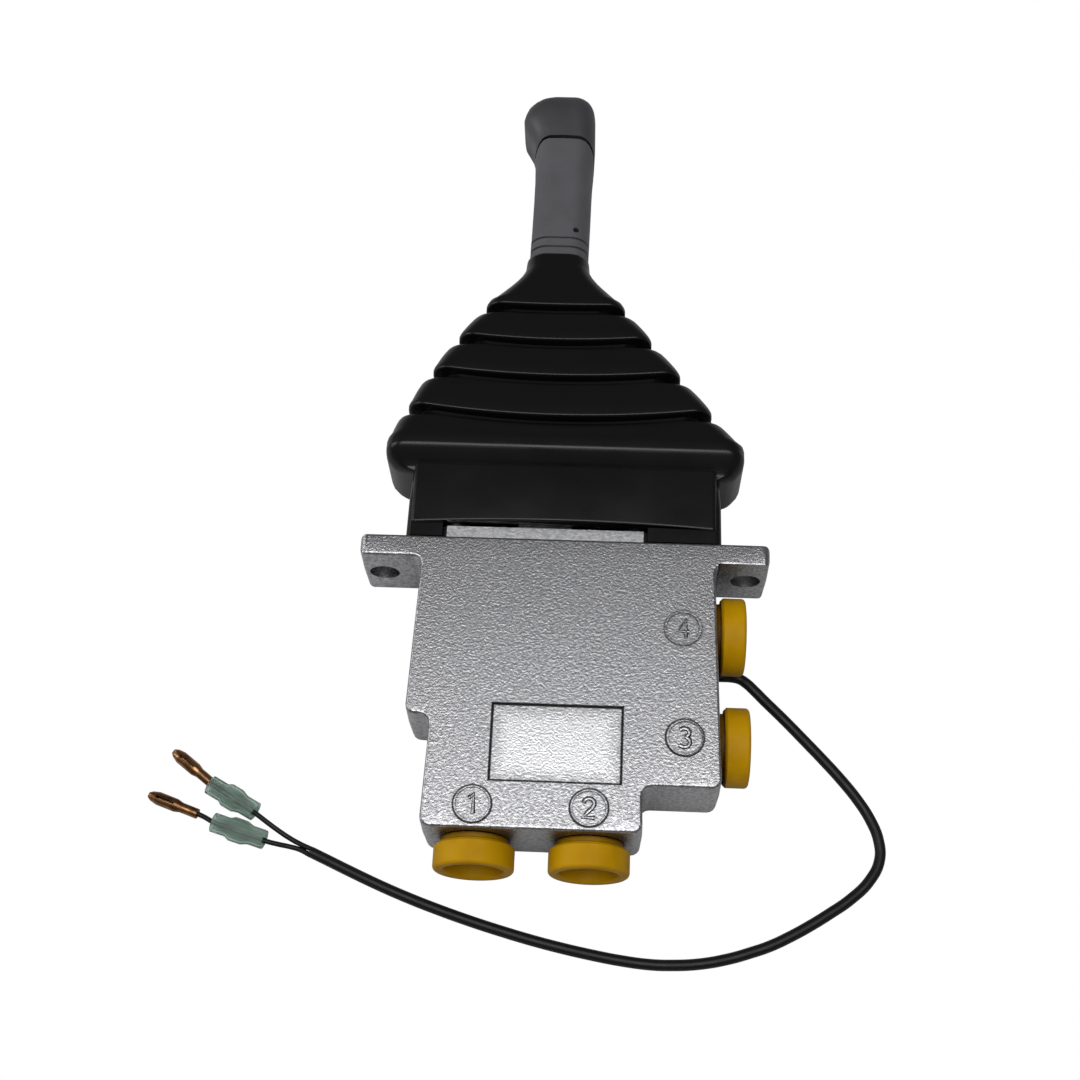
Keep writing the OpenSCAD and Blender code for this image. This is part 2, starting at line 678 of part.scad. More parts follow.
// Pleat profile, from the fold below a pleat's edge to its shoulder: height above the pleat,
// then how far the side, the front and the back are drawn in, and the corner
pleat_profile = [[-1.2, 4.3, 1.7, 3.3, 5], [-0.1, 3.4, fold_depth - 0.2, 2.4, 5],
    [0.4, 0.2, fold_depth - 0.2, 0, 5.6], [2.4, 0, 0.2, 0, 6.2], [3, 0.3, 0, 0, 6.4],
    [6.4, 3.6, 0.6, 0.4, 7], [9.2, 7.2, 1.1, 1.6, 7]];
function boot_outside() = concat(
    [boot_ring(0, band_x, band_hw, band_front + 0.2, back_y, 2),
     boot_ring(band_h - 5, band_x, band_hw - 0.3, band_front, back_y, 2.2),
     boot_ring(band_h - 0.4, boot_x(0), rim_hw - 3.4, band_front, back_y, 3),
     boot_ring(band_h + 0.3, boot_x(0), rim_hw - 2.5, band_front - 2, back_y, 4),
     boot_ring(rim_z - 1, boot_x(0), rim_hw - 0.2, band_front - 2.2, back_y, 5),
     boot_ring(rim_z + 2.4, boot_x(0), rim_hw, rim_front - 0.1, back_y, 6),
     boot_ring(rim_z + 3.4, boot_x(0), rim_hw - 0.5, rim_front, back_y, 6),
     boot_ring(rim_z + 8.5, boot_x(0.45), rim_hw - 4.8, rim_front - 0.7, back_y - 0.6, 6.6,
        0.45 * pleat_sag[1])],
    [for (i = [1:4]) for (p = pleat_profile)
        boot_ring(pleat_z(i) + p[0], boot_x(i), pleat_hw(i) - p[1], boot_front - p[2],
            back_y - p[3], p[4], pleat_sag[i])],
    [boot_ring(collar_z - 4.6, lever_x, grip_w / 2 + 1.5, grip_d / 2 + 1.7, grip_d / 2 + 1.7, grip_r + 1),
     boot_ring(collar_z - 3.2, lever_x, grip_w / 2 + 1.1, grip_d / 2 + 1.3, grip_d / 2 + 1.3, grip_r + 1),
     boot_ring(collar_z, lever_x, grip_w / 2 + 0.9, grip_d / 2 + 1.1, grip_d / 2 + 1.1, grip_r + 0.9)]);
function boot_inside() = let (w = boot_wall, grip_gap = 0.3) concat(
    [boot_ring(-cut, band_x, band_hw - w, band_front - w, back_y - w, 2),
     boot_ring(band_h - 6, band_x, band_hw - w, band_front - w, back_y - w, 2),
     boot_ring(band_h, band_x, band_hw - 0.4 - w, band_front - 2 - w, back_y - w, 2),
     boot_ring(rim_z + w, boot_x(0), rim_hw - 2 * w, band_front - 2 - w, back_y - w, 5)],
    [for (i = [1:4]) each [
        boot_ring(pleat_z(i) - 0.6, boot_x(i), pleat_hw(i) - fold_depth - 2.2 * w,
            boot_front - fold_depth - w, back_y - fold_depth - w, 5, pleat_sag[i]),
        boot_ring(pleat_z(i) + 1.2, boot_x(i), pleat_hw(i) - 1.4 * w, boot_front - fold_depth - w,
            back_y - w, 5, pleat_sag[i])]],
    [boot_ring(collar_z - 9, lever_x, grip_w / 2 + grip_gap, grip_d / 2 + grip_gap, grip_d / 2 + grip_gap,
        grip_r),
     boot_ring(collar_z + cut, lever_x, grip_w / 2 + grip_gap, grip_d / 2 + grip_gap,
        grip_d / 2 + grip_gap, grip_r)]);

module boot() {
    arch_h = plate_t + 0.8;
    arch_w = 61;
    color("#202021") lying() difference() {
        simple_loft(boot_outside());
        simple_loft(boot_inside());
        translate([lever_x - arch_w / 2, -body_d, -cut]) cube([arch_w, body_d - 6, arch_h + cut]);
    }
}

// Lever: rocker, rod, grip, head and button

module rocker() {
    color("#9fa1a5") lying() translate([lever_x, 0, pivot_h]) difference() {
        union() {
            translate([0, rocker_t / 2, 0]) to_front() cylinder(d = hub_d, h = rocker_t);
            cylinder(d = boss_d, h = boss_top - pivot_h);
            translate([0, nose_r, 0]) to_front() linear_extrude(height = 2 * nose_r) union() {
                for (side = [-1, 1]) translate([side * valve_off, 0]) circle(r = nose_r);
                polygon([[-valve_off, nose_r], [-valve_off, 0], [0, -nose_r / 2], [valve_off, 0],
                         [valve_off, nose_r], [0, nose_r + 1]]);
            }
        }
        translate([0, rocker_t / 2 + cut, 0]) to_front()
            cylinder(d = pin_d + 2 * run_fit, h = rocker_t + 2 * cut);
        translate([0, 0, pin_d / 2 + 2]) cylinder(d = stud_d, h = boss_top);
    }
}

module lever_rod() {
    foot = pivot_h + pin_d / 2 + 2;
    half_slot = lock_pin_d / 2 + 0.1;
    color("#c4c5c8") lying() translate([lever_x, 0, 0]) difference() {
        rotate_extrude() polygon([[0, foot], [stud_d / 2, foot], [stud_d / 2, boss_top + nut_t + 2],
            [rod_d / 2, boss_top + nut_t + 3], [rod_d / 2, lock_z - half_slot],
            [rod_d / 2 - 0.7, lock_z - half_slot], [rod_d / 2 - 0.7, lock_z + half_slot],
            [rod_d / 2, lock_z + half_slot], [rod_d / 2, rod_top - 1],
            [rod_d / 2 - 1, rod_top], [0, rod_top]]);
    }
}

module lock_nut() {
    color("#8a8b8e") lying() translate([lever_x, 0, boss_top]) difference() {
        intersection() {
            cylinder(d = nut_af / cos(30), h = nut_t, $fn = 6);
            translate([0, 0, -0.01]) cylinder(d1 = nut_af * 1.32, d2 = nut_af * 1.0, h = nut_t + 0.02);
        }
        translate([0, 0, -cut]) cylinder(d = stud_d, h = nut_t + 2 * cut);
    }
}

// Side view of the grip, drawn in at its top, where the head and its two wings wrap round it
module grip_arch(grow) {
    shoulder = 2.6;
    bottom = grip_z - 10;
    wide = grip_w / 2 + 2;
    hw = grip_w / 2 - wing_t + grow;
    top = joint_z + grow;
    cx = hw - shoulder;
    cz = top - shoulder;
    translate([lever_x, grip_d, 0]) to_front() linear_extrude(height = 2 * grip_d)
        polygon([[-wide, bottom], [wide, bottom], [wide, wing_z - 3 + grow], [hw, wing_z + grow],
            each [for (a = [0:15:90]) [cx + shoulder * cos(a), cz + shoulder * sin(a)]],
            each [for (a = [90:15:180]) [shoulder * cos(a) - cx, cz + shoulder * sin(a)]],
            [-hw, wing_z + grow], [-wide, wing_z - 3 + grow]]);
}

// One section of the grip at a height, with a narrower waist
function grip_ring(z, extra) =
    lift(slab(lever_x - grip_w / 2 - extra, lever_x + grip_w / 2 + extra, -grip_d / 2 - extra / 2,
        grip_d / 2 + extra / 2, grip_r + extra), z);

module grip() {
    groove = 0.8;
    color("#525154") lying() difference() {
        intersection() {
            simple_loft([grip_ring(grip_z, 0), grip_ring(104, 0), grip_ring(114, -0.1), grip_ring(122, -0.3),
                  grip_ring(130, -0.1), grip_ring(138, 0.2), grip_ring(joint_z + 4, 0.4)]);
            grip_arch(0);
        }
        // two ring grooves above the boot's collar
        for (z = [collar_z + 2.8, collar_z + 6.2]) difference() {
            translate([lever_x - grip_w, -grip_d, z - groove / 2]) cube([2 * grip_w, 2 * grip_d, groove]);
            linear_extrude(height = 200)
                polygon(slab(lever_x - grip_w / 2 + 0.5, lever_x + grip_w / 2 - 0.5,
                    -grip_d / 2 + 0.5, grip_d / 2 - 0.5, grip_r - 0.5));
        }
        translate([lever_x, 0, grip_z - cut]) cylinder(d = rod_d + 0.1, h = rod_top - grip_z + cut + 0.5);
        translate([head_x, switch_y, switch_low]) cylinder(d = switch_d + 0.3, h = 10);
        translate([lever_x, 2, rod_top - 1]) cylinder(d = 5, h = switch_low - rod_top + 2);
        translate([lock_x, grip_d, lock_z]) to_front() cylinder(d = lock_pin_d + 0.1, h = 2 * grip_d);
    }
}

module grip_lock_pin() {
    color("#2a2a2c") lying() translate([lock_x, grip_d / 2 - 1.5, lock_z]) to_front()
        cylinder(d = lock_pin_d, h = grip_d - 3);
}

// One section of the head: height, left, right, front and back
function head_ring(z, left, right, front, back, r) =
    lift(slab(lever_x - left, lever_x + right, -front, back, r), z);

// Head profile, from its wings to its top: depth below the top, how far it stands out past the grip
// on the left, right, front and back, and how much sharper its corners are
head_profile = [[30, 0.2, 0.2, 0.1, 0.1, 0], [24, 0.9, 0.5, 0.3, 0.3, 0], [20, 2.4, 0.7, 0.6, 0.6, 0],
    [16, 3.7, 0.8, 1, 1, 0], [11.5, 4.4, 0.9, 1.2, 1.2, 0], [7.4, 4, 0.5, 1.1, 1.2, 0],
    [4.2, 3, -0.6, 0.4, 1, 0], [1.6, 0.8, -2.6, -1.4, 0.2, 0.6], [0, -2.6, -5.6, -4.8, -1, 1.6]];

module head_cap() {
    hw = grip_w / 2;
    hd = grip_d / 2;
    color("#454448") lying() difference() {
        simple_loft([for (p = head_profile) head_ring(head_z - p[0], hw + p[1], hw + p[2], hd + p[3],
            hd + p[4], grip_r - p[5])]);
        grip_arch(joint_gap);
        translate([head_x, switch_y, 0]) {
            translate([0, 0, 130]) cylinder(d = switch_d + 0.2, h = switch_top - 130 + 0.2);
            translate([0, 0, switch_top - cut])
                cylinder(d = button_d + 2, h = button_flange_z + 1.2 - switch_top + cut);
            translate([0, 0, switch_top]) cylinder(d = button_d + 2 * run_fit, h = 20);
            translate([0, 0, head_z - dish]) cylinder(d1 = button_d + 1, d2 = button_d + 4, h = dish + 0.01);
        }
    }
}

module switch_body() {
    color("#2c2c2e") lying() translate([head_x, switch_y, 0]) difference() {
        union() {
            translate([0, 0, switch_low]) cylinder(d = switch_d, h = switch_top - switch_low - 1);
            translate([0, 0, switch_top - 1]) cylinder(d = switch_d - 2, h = 1);
        }
        translate([0, 0, switch_top - 3]) cylinder(d = 3.4, h = 3 + cut);
    }
}

module button_spring() {
    color("#a8a9ac") lying() translate([head_x, switch_y, 0])
        spring(5.4, 0.6, switch_top, button_flange_z, 4, 12, 6);
}

module push_button() {
    top = head_z - dish + button_proud;
    color("#1d1d1f") lying() translate([head_x, switch_y, 0]) rotate_extrude()
        polygon([[0, button_flange_z], [button_d / 2 + 0.7, button_flange_z],
            [button_d / 2 + 0.7, button_flange_z + 1], [button_d / 2, button_flange_z + 1],
            each [for (a = [0:22.5:90]) [button_d / 2 - 1 + cos(a), top - 1 + sin(a)]], [0, top + 0.3]]);
}

// Lead: grommet, inner run, sheath, wires, sleeves and terminals

module cable_grommet() {
    color("#1a1a1b") lying() translate([grommet_x, exit_y, exit_z]) to_right() difference() {
        union() {
            cylinder(d = grommet_d, h = grommet_t);
            translate([0, 0, -5]) cylinder(d = passage_d, h = 5);
        }
        translate([0, 0, -6]) cylinder(d = sheath_d, h = 12);
    }
}

module inner_lead() {
    color("#141415") lying() {
        translate([passage_x, exit_y, exit_z]) to_right() cylinder(d = sheath_d, h = lead_x - passage_x);
        translate([passage_x, exit_y, exit_z]) sphere(d = sheath_d);
        translate([passage_x, exit_y, exit_z]) cylinder(d = sheath_d, h = -exit_z - 0.5);
    }
}

module cord_sheath() { color("#141415") tube(SHEATH, sheath_d); }
module wire_a() { color("#141415") tube(WIRE_A, wire_d); }
module wire_b() { color("#141415") tube(WIRE_B, wire_d); }

// Lays a piece that points up along a line on the floor, from its tail to its tip
module along(ends, height) {
    way = ends[1] - ends[0];
    translate([ends[0][0], ends[0][1], height])
        rotate([0, 0, atan2(way[1], way[0])]) rotate([0, 90, 0]) children();
}

// A soft sleeve with narrow ends, pushed back from its terminal
module sleeve(ends) {
    length = norm(ends[1] - ends[0]);
    r = sleeve_d / 2;
    thin = 2.8;
    mouth = r - 0.7;
    shape = [[thin, 0], [thin, 4.4], [r - 0.3, 5.6], [r, 6.4], [r, length - 6], [mouth, length - 4.6],
             [mouth, length]];
    w = sleeve_wall;
    color("#7f9c8a", 0.6) along(ends, floor_z + r) rotate_extrude()
        polygon(concat([for (p = shape) p],
            [for (i = [len(shape) - 1:-1:0]) [shape[i][0] - w, shape[i][1]]]));
}
module sleeve_a() { sleeve(SLEEVE_A); }
module sleeve_b() { sleeve(SLEEVE_B); }

// A rolled bullet terminal: crimp barrel, open neck and round bullet
module terminal(ends) {
    length = norm(ends[1] - ends[0]);
    r = bullet_d / 2;
    neck = length - 9.4;
    wall = 0.5;
    color("#8a6a3f") along(ends, floor_z + r) difference() {
        rotate_extrude() polygon([[0, 0], [1.5, 0], [1.5, neck - 1.2], [r, neck + 0.6],
            [r, length - 3], [r - 0.5, length - 1], [r - 1.1, length], [0, length]]);
        translate([0, 0, -cut]) cylinder(r = 0.8, h = 4 + cut);
        translate([0, 0, neck + 1]) cylinder(r = r - wall, h = length - neck - 3.2);
        translate([-r - cut, -0.4, neck + 1]) cube([r, 0.8, length]);
    }
}
module terminal_a() { terminal(TERMINAL_A); }
module terminal_b() { terminal(TERMINAL_B); }

body_casting();
pivot_bracket();
bracket_screws();
pivot_pin();
pin_clips();
guide_bush_1();
guide_bush_2();
bush_o_rings();
wiper_seals();
pusher_1();
pusher_2();
spring_seat_1();
spring_seat_2();
return_spring_1();
return_spring_2();
metering_spring_1();
metering_spring_2();
spool_1();
spool_2();
plug_1();
plug_2();
plug_pressure();
plug_tank();
boot();
rocker();
lever_rod();
lock_nut();
grip();
grip_lock_pin();
head_cap();
switch_body();
button_spring();
push_button();
cable_grommet();
inner_lead();
cord_sheath();
wire_a();
wire_b();
sleeve_a();
sleeve_b();
terminal_a();
terminal_b();
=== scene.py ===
"""Looks of the hydraulic control lever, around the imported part."""

import math

import bmesh
import bpy
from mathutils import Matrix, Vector


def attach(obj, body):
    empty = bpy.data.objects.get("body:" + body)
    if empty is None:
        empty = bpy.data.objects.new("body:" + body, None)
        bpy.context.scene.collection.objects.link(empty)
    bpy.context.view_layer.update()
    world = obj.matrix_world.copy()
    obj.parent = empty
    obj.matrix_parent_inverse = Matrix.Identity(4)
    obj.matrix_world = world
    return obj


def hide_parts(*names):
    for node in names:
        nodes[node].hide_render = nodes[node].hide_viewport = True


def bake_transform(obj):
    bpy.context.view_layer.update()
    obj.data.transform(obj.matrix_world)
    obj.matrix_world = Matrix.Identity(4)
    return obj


MM = 0.001
FLOOR = -13.2           # height of the surface it lies on, in millimetres
LEVER_X = -6.0          # the lever's axis
HALF = 13.2             # half the depth of the casting

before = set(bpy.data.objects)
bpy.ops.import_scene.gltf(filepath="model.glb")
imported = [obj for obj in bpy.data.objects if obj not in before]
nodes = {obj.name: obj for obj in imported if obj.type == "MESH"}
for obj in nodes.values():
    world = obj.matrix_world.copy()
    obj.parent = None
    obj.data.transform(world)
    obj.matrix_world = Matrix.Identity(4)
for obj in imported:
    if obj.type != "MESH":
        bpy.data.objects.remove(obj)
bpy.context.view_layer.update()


scene = bpy.context.scene


# Small tools

def linear(code):
    """An sRGB hex colour as the linear values that a shader takes."""
    parts = [int(code[i:i + 2], 16) / 255 for i in (0, 2, 4)]
    return [c / 12.92 if c <= 0.04045 else ((c + 0.055) / 1.055) ** 2.4 for c in parts] + [1.0]


def add(tree, kind, inputs=None, **settings):
    """Adds a node, makes its settings, and fills or links its inputs by name or number."""
    node = tree.nodes.new(kind)
    for name, value in settings.items():
        setattr(node, name, value)
    for name, value in (inputs or {}).items():
        if isinstance(value, bpy.types.NodeSocket):
            tree.links.new(value, node.inputs[name])
        else:
            node.inputs[name].default_value = value
    return node


def empty_material(name):
    material = bpy.data.materials.new(name)
    material.use_nodes = True
    material.node_tree.nodes.clear()
    return material, material.node_tree


# Where the noise turns a patch from dark to light, and from rough to smooth
COLOUR_TURN = (0.36, 0.62)
ROUGH_TURN = (0.3, 0.7)
# How open a place is where the painted shade in corners is full, and where there is none
SHADE_TURN = (0.5, 0.86)
SHADE_RAYS = 12


def surface(name, light, dark, patch, rough, grains, corner_shade=None, **sockets):
    """A material with soft patches between two colours, a range of roughness and grains.

    patch is the size of the patches in mm, each grain is its size and depth in mm, and the optional
    pair after the grains is the colour of painted shade laid into corners, with its reach in mm.
    """
    material, tree = empty_material(name)
    place = add(tree, "ShaderNodeTexCoord").outputs["Object"]
    patches = add(tree, "ShaderNodeTexNoise", {
        "Vector": place, "Scale": 1 / (patch * MM), "Detail": 5.0}).outputs["Fac"]
    ramp = add(tree, "ShaderNodeValToRGB", {"Fac": patches})
    for end, code in enumerate((dark, light)):
        ramp.color_ramp.elements[end].position = COLOUR_TURN[end]
        ramp.color_ramp.elements[end].color = linear(code)
    colour = ramp.outputs["Color"]
    roughness = add(tree, "ShaderNodeMapRange", {
        "Value": patches, "From Min": ROUGH_TURN[0], "From Max": ROUGH_TURN[1],
        "To Min": rough[1], "To Max": rough[0]}).outputs["Result"]
    # painted shade: the colour darkens toward the shade colour in corners and creases, where ambient
    # occlusion finds little open space
    if corner_shade:
        painted_shade, reach = corner_shade
        openness = add(tree, "ShaderNodeAmbientOcclusion", {"Distance": reach * MM},
                       samples=SHADE_RAYS).outputs["AO"]
        unshaded = add(tree, "ShaderNodeMapRange", {
            "Value": openness, "From Min": SHADE_TURN[0], "From Max": SHADE_TURN[1],
            "To Min": 0.0, "To Max": 1.0}).outputs["Result"]
        colour = add(tree, "ShaderNodeMix", {0: unshaded, 6: linear(painted_shade), 7: colour},
                     data_type="RGBA").outputs[2]
    inputs = {"Base Color": colour, "Roughness": roughness}
    for size, depth in grains:
        relief = add(tree, "ShaderNodeTexNoise", {
            "Vector": place, "Scale": 1 / (size * MM), "Detail": 2.0}).outputs["Fac"]
        bump = {"Height": relief, "Distance": depth * MM}
        if "Normal" in inputs:
            bump["Normal"] = inputs["Normal"]
        inputs["Normal"] = add(tree, "ShaderNodeBump", bump).outputs["Normal"]
    for key, value in sockets.items():
        inputs[key.replace("_", " ").title().replace("Ior", "IOR")] = value
    shader = add(tree, "ShaderNodeBsdfPrincipled", inputs)
    add(tree, "ShaderNodeOutputMaterial", {"Surface": shader.outputs["BSDF"]})
    return material


# Materials, each for what the piece is made of and how. Grain that is too fine to show in the
# render, as that of ground steel and moulded plastic, is drawn as coarse as it needs to show.

# aluminium, die cast and tumbled: a leathery skin that sparkles, with painted shade in its corners
CAST = surface("cast_aluminium", "acacae", "868689", 1.1, (0.27, 0.4), [(0.7, 0.11), (0.35, 0.02)],
               corner_shade=("141210", 1.5), metallic=1.0)
# steel, cut from plate and zinc plated: pale and fairly bright
PLATED = surface("plated_steel", "cfd0d3", "b0b1b5", 4, (0.24, 0.36), [(0.4, 0.004)], metallic=1.0)
# the bracket's steel, punched from plate and zinc plated: grainy, painted lighter than the other plated
# steel as a highlight, with painted shade in its corners
BRIGHTENED_BRACKET = surface("plated_plate_brightened", "e2e2e4", "a6a7aa", 1.4, (0.30, 0.46), [(0.7, 0.05)],
                  corner_shade=("141210", 1.0), metallic=1.0)
# steel, ground: bright and almost without grain
GROUND = surface("ground_steel", "c6c7ca", "aaabaf", 3, (0.16, 0.26), [(0.2, 0.002)], metallic=1.0)
# steel, blackened by oxide: dark and dull
BLACKENED = surface("blackened_steel", "3a3a3d", "29292b", 2, (0.38, 0.52), [(0.3, 0.004)],
                    metallic=1.0)
# spring steel, drawn to wire: grey with a soft shine
WIRE_STEEL = surface("drawn_spring_wire", "8d8f94", "74767b", 2, (0.26, 0.38), [(0.3, 0.003)],
                     metallic=1.0)
# bronze, turned: warm and half bright
BRONZE = surface("turned_bronze", "b98a4a", "9b703a", 3, (0.26, 0.4), [(0.3, 0.004)], metallic=1.0)
# nitrile rubber of the seals, moulded: black and matt
SEAL = surface("seal_rubber", "1c1c1d", "121213", 3, (0.5, 0.65), [(0.4, 0.01)])
# rubber of the boot, moulded: black, with a satin shine that wavers a little
BOOT = surface("boot_rubber", "0b0b0c", "080809", 16, (0.24, 0.34), [(0.5, 0.008), (12, 0.06)],
               specular_ior_level=0.3)
# filled plastic of the grip, moulded in a spark eroded tool: dark grey and finely rough, with painted
# shade in its grooves and corners
GRIP = surface("grip_plastic", "525155", "4b4a4d", 11, (0.50, 0.62), [(0.35, 0.02)],
               corner_shade=("060606", 0.6))
# the head's plastic, a darker batch of the grip's, with painted shade that blackens its parting gap and
# corners
HEAD = surface("head_plastic", "403f43", "38373a", 11, (0.44, 0.56), [(0.35, 0.02)],
               corner_shade=("020202", 1.5))
# plastic of the button and its switch, moulded in a polished tool: black with some gloss
BUTTON = surface("button_plastic", "1c1c1e", "151517", 4, (0.28, 0.38), [(0.5, 0.004)])
# polyethylene of the plugs, moulded: yellow and waxy, with painted brown shade in its corners and where
# it meets the casting
PLUG = surface("plug_polyethylene", "b48700", "aa7d00", 8, (0.44, 0.58), [(0.6, 0.012)],
               corner_shade=("3a2000", 2.2), specular_ior_level=0.1)
# soft PVC round the lead and its wires, extruded: black with a faint shine
LEAD = surface("lead_pvc", "101011", "0b0b0c", 5, (0.36, 0.48), [(0.8, 0.01)],
               specular_ior_level=0.25)
# clear PVC of the sleeves, dip moulded: greenish and glossy. The IOR is matched to the photo, below
# that of PVC, so that the sleeves bend the light only a little
SLEEVE = surface("sleeve_pvc", "ccdfd5", "bccfc4", 6, (0.08, 0.14), [(1.6, 0.01)],
                 transmission_weight=0.88, ior=1.16)
# brass of the terminals, rolled from strip: brownish and dulled, with painted shade in its corners
TERMINAL = surface("rolled_brass", "98714e", "664830", 3, (0.26, 0.36), [(1.2, 0.004)],
                   corner_shade=("1a0f08", 0.8), metallic=1.0)

# Painted shade on the casting's front, in mm: dark lines round the sunken panel, the rings beside the
# ports and the feet of the numbers in them. A painted highlight makes the panel's floor brighter.

PANEL_MIDDLE = Vector((0.0, -63.1, 0.0))
PANEL_HALF = Vector((18.6, 11.35, 0.0))
# Middle of each ring, and how dark its painted shade line is
RINGS = [(-22.6, -81.4, 0.95), (9.8, -81.4, 0.95), (36.0, -60.2, 0.95), (35.3, -27.3, 0.4)]
RING_R = 5.4
FRONT_FROM = 10         # the height above which the marks are made
PANEL_LINE_IN = 0.15    # how far inside the panel's edge its dark line runs
# How far out from its middle a line is full, and where it has faded
PANEL_LINE = (0.28, 0.5)
RING_LINE = (0.2, 0.42)
# How far above the flat front the painted shade at a number's foot starts, is full and has faded
FOOT_FROM, FOOT_FULL, FOOT_FADED = 0.015, 0.17, 0.25
PANEL_HIGHLIGHT_AREA = (-5.0, -0.4)        # where the painted highlight on the panel's floor is full and where it ends, out from its edge
DARKEST = 0.92
# strength of the painted highlight on the panel's floor
PANEL_HIGHLIGHT = 0.5


def mark_casting(material):
    """Adds the painted shade lines and the painted highlight on the panel to the casting's material."""
    tree = material.node_tree
    shader = next(n for n in tree.nodes if n.type == "BSDF_PRINCIPLED")
    place = add(tree, "ShaderNodeTexCoord").outputs["Object"]
    height = add(tree, "ShaderNodeSeparateXYZ", {"Vector": place}).outputs["Z"]
    flat = add(tree, "ShaderNodeVectorMath", {0: place, 1: (1, 1, 0)}, operation="MULTIPLY").outputs[0]
    front = add(tree, "ShaderNodeMath", {0: height, 1: FRONT_FROM * MM},
                operation="GREATER_THAN").outputs[0]

    # distance out from the panel's edge, below zero inside it
    off = add(tree, "ShaderNodeVectorMath", {0: flat, 1: PANEL_MIDDLE * MM}, operation="SUBTRACT")
    off = add(tree, "ShaderNodeVectorMath", {0: off.outputs[0]}, operation="ABSOLUTE")
    off = add(tree, "ShaderNodeVectorMath", {0: off.outputs[0], 1: PANEL_HALF * MM}, operation="SUBTRACT")
    across, along, _ = add(tree, "ShaderNodeSeparateXYZ", {"Vector": off.outputs[0]}).outputs
    edge = add(tree, "ShaderNodeMath", {0: across, 1: along}, operation="MAXIMUM").outputs[0]

    # each painted shade line: distance from its middle, how wide it is and how dark
    from_line = add(tree, "ShaderNodeMath", {0: edge, 1: PANEL_LINE_IN * MM}, operation="ADD").outputs[0]
    marks = [(from_line, PANEL_LINE, 1.0)]
    for x, y, strength in RINGS:
        out = add(tree, "ShaderNodeVectorMath", {0: flat, 1: (x * MM, y * MM, 0.0)},
                  operation="DISTANCE").outputs["Value"]
        from_ring = add(tree, "ShaderNodeMath", {0: out, 1: RING_R * MM}, operation="SUBTRACT").outputs[0]
        marks.append((from_ring, RING_LINE, strength))
    painted_shade = 0.0
    for distance, (full, faded), strength in marks:
        either = add(tree, "ShaderNodeMath", {0: distance}, operation="ABSOLUTE").outputs[0]
        share = add(tree, "ShaderNodeMapRange", {
            "Value": either, "From Min": full * MM, "From Max": faded * MM,
            "To Min": strength * DARKEST, "To Max": 0.0}).outputs["Result"]
        painted_shade = add(tree, "ShaderNodeMath", {0: painted_shade, 1: share}, operation="MAXIMUM").outputs[0]

    # painted shade at the feet of the numbers, just above the flat front
    raised = add(tree, "ShaderNodeMath", {0: height, 1: (HALF + FOOT_FROM) * MM},
                 operation="GREATER_THAN").outputs[0]
    foot = add(tree, "ShaderNodeMapRange", {
        "Value": height, "From Min": (HALF + FOOT_FULL) * MM, "From Max": (HALF + FOOT_FADED) * MM,
        "To Min": DARKEST, "To Max": 0.0}).outputs["Result"]
    foot = add(tree, "ShaderNodeMath", {0: raised, 1: foot}, operation="MULTIPLY").outputs[0]
    painted_shade = add(tree, "ShaderNodeMath", {0: painted_shade, 1: foot}, operation="MAXIMUM").outputs[0]
    painted_shade = add(tree, "ShaderNodeMath", {0: painted_shade, 1: front}, operation="MULTIPLY").outputs[0]

    # painted highlight, brightest well inside the panel's edge
    floor = add(tree, "ShaderNodeMapRange", {
        "Value": edge, "From Min": PANEL_HIGHLIGHT_AREA[0] * MM, "From Max": PANEL_HIGHLIGHT_AREA[1] * MM,
        "To Min": PANEL_HIGHLIGHT, "To Max": 0.0}).outputs["Result"]
    floor = add(tree, "ShaderNodeMath", {0: floor, 1: front}, operation="MULTIPLY").outputs[0]
    colour = shader.inputs["Base Color"].links[0].from_socket
    # the pale painted highlight on the panel's floor, then the dark painted shade
    for share, code in ((floor, "e4e4e6"), (painted_shade, "151413")):
        colour = add(tree, "ShaderNodeMix", {0: share, 6: colour, 7: linear(code)},
                     data_type="RGBA").outputs[2]
    tree.links.new(colour, shader.inputs["Base Color"])


mark_casting(CAST)

MATERIALS = {
    "body_casting": CAST, "pivot_bracket": BRIGHTENED_BRACKET, "bracket_screws": BLACKENED, "pivot_pin": GROUND,
    "pin_clips": WIRE_STEEL, "guide_bush_1": BRONZE, "guide_bush_2": BRONZE, "bush_o_rings": SEAL,
    "wiper_seals": SEAL, "pusher_1": GROUND, "pusher_2": GROUND, "spring_seat_1": GROUND,
    "spring_seat_2": GROUND, "return_spring_1": WIRE_STEEL, "return_spring_2": WIRE_STEEL,
    "metering_spring_1": WIRE_STEEL, "metering_spring_2": WIRE_STEEL, "spool_1": GROUND,
    "spool_2": GROUND, "plug_1": PLUG, "plug_2": PLUG, "plug_pressure": PLUG, "plug_tank": PLUG,
    "boot": BOOT, "rocker": PLATED, "lever_rod": PLATED, "lock_nut": PLATED, "grip": GRIP,
    "grip_lock_pin": BLACKENED, "head_cap": HEAD, "switch_body": BUTTON, "button_spring": WIRE_STEEL,
    "push_button": BUTTON, "cable_grommet": SEAL, "inner_lead": LEAD, "cord_sheath": LEAD,
    "wire_a": LEAD, "wire_b": LEAD, "sleeve_a": SLEEVE, "sleeve_b": SLEEVE,
    "terminal_a": TERMINAL, "terminal_b": TERMINAL}


def dress(obj, material):
    obj.data.materials.clear()
    obj.data.materials.append(material)
    return obj


# Smooth shading of the carried-over pieces, with their sharp edges kept

SHARP_ABOVE = 33        # degrees
SAME_POINT = 0.001      # corners closer than this, in mm, are one
FLAT_WEIGHT = 80        # how far large flat faces lead the shading


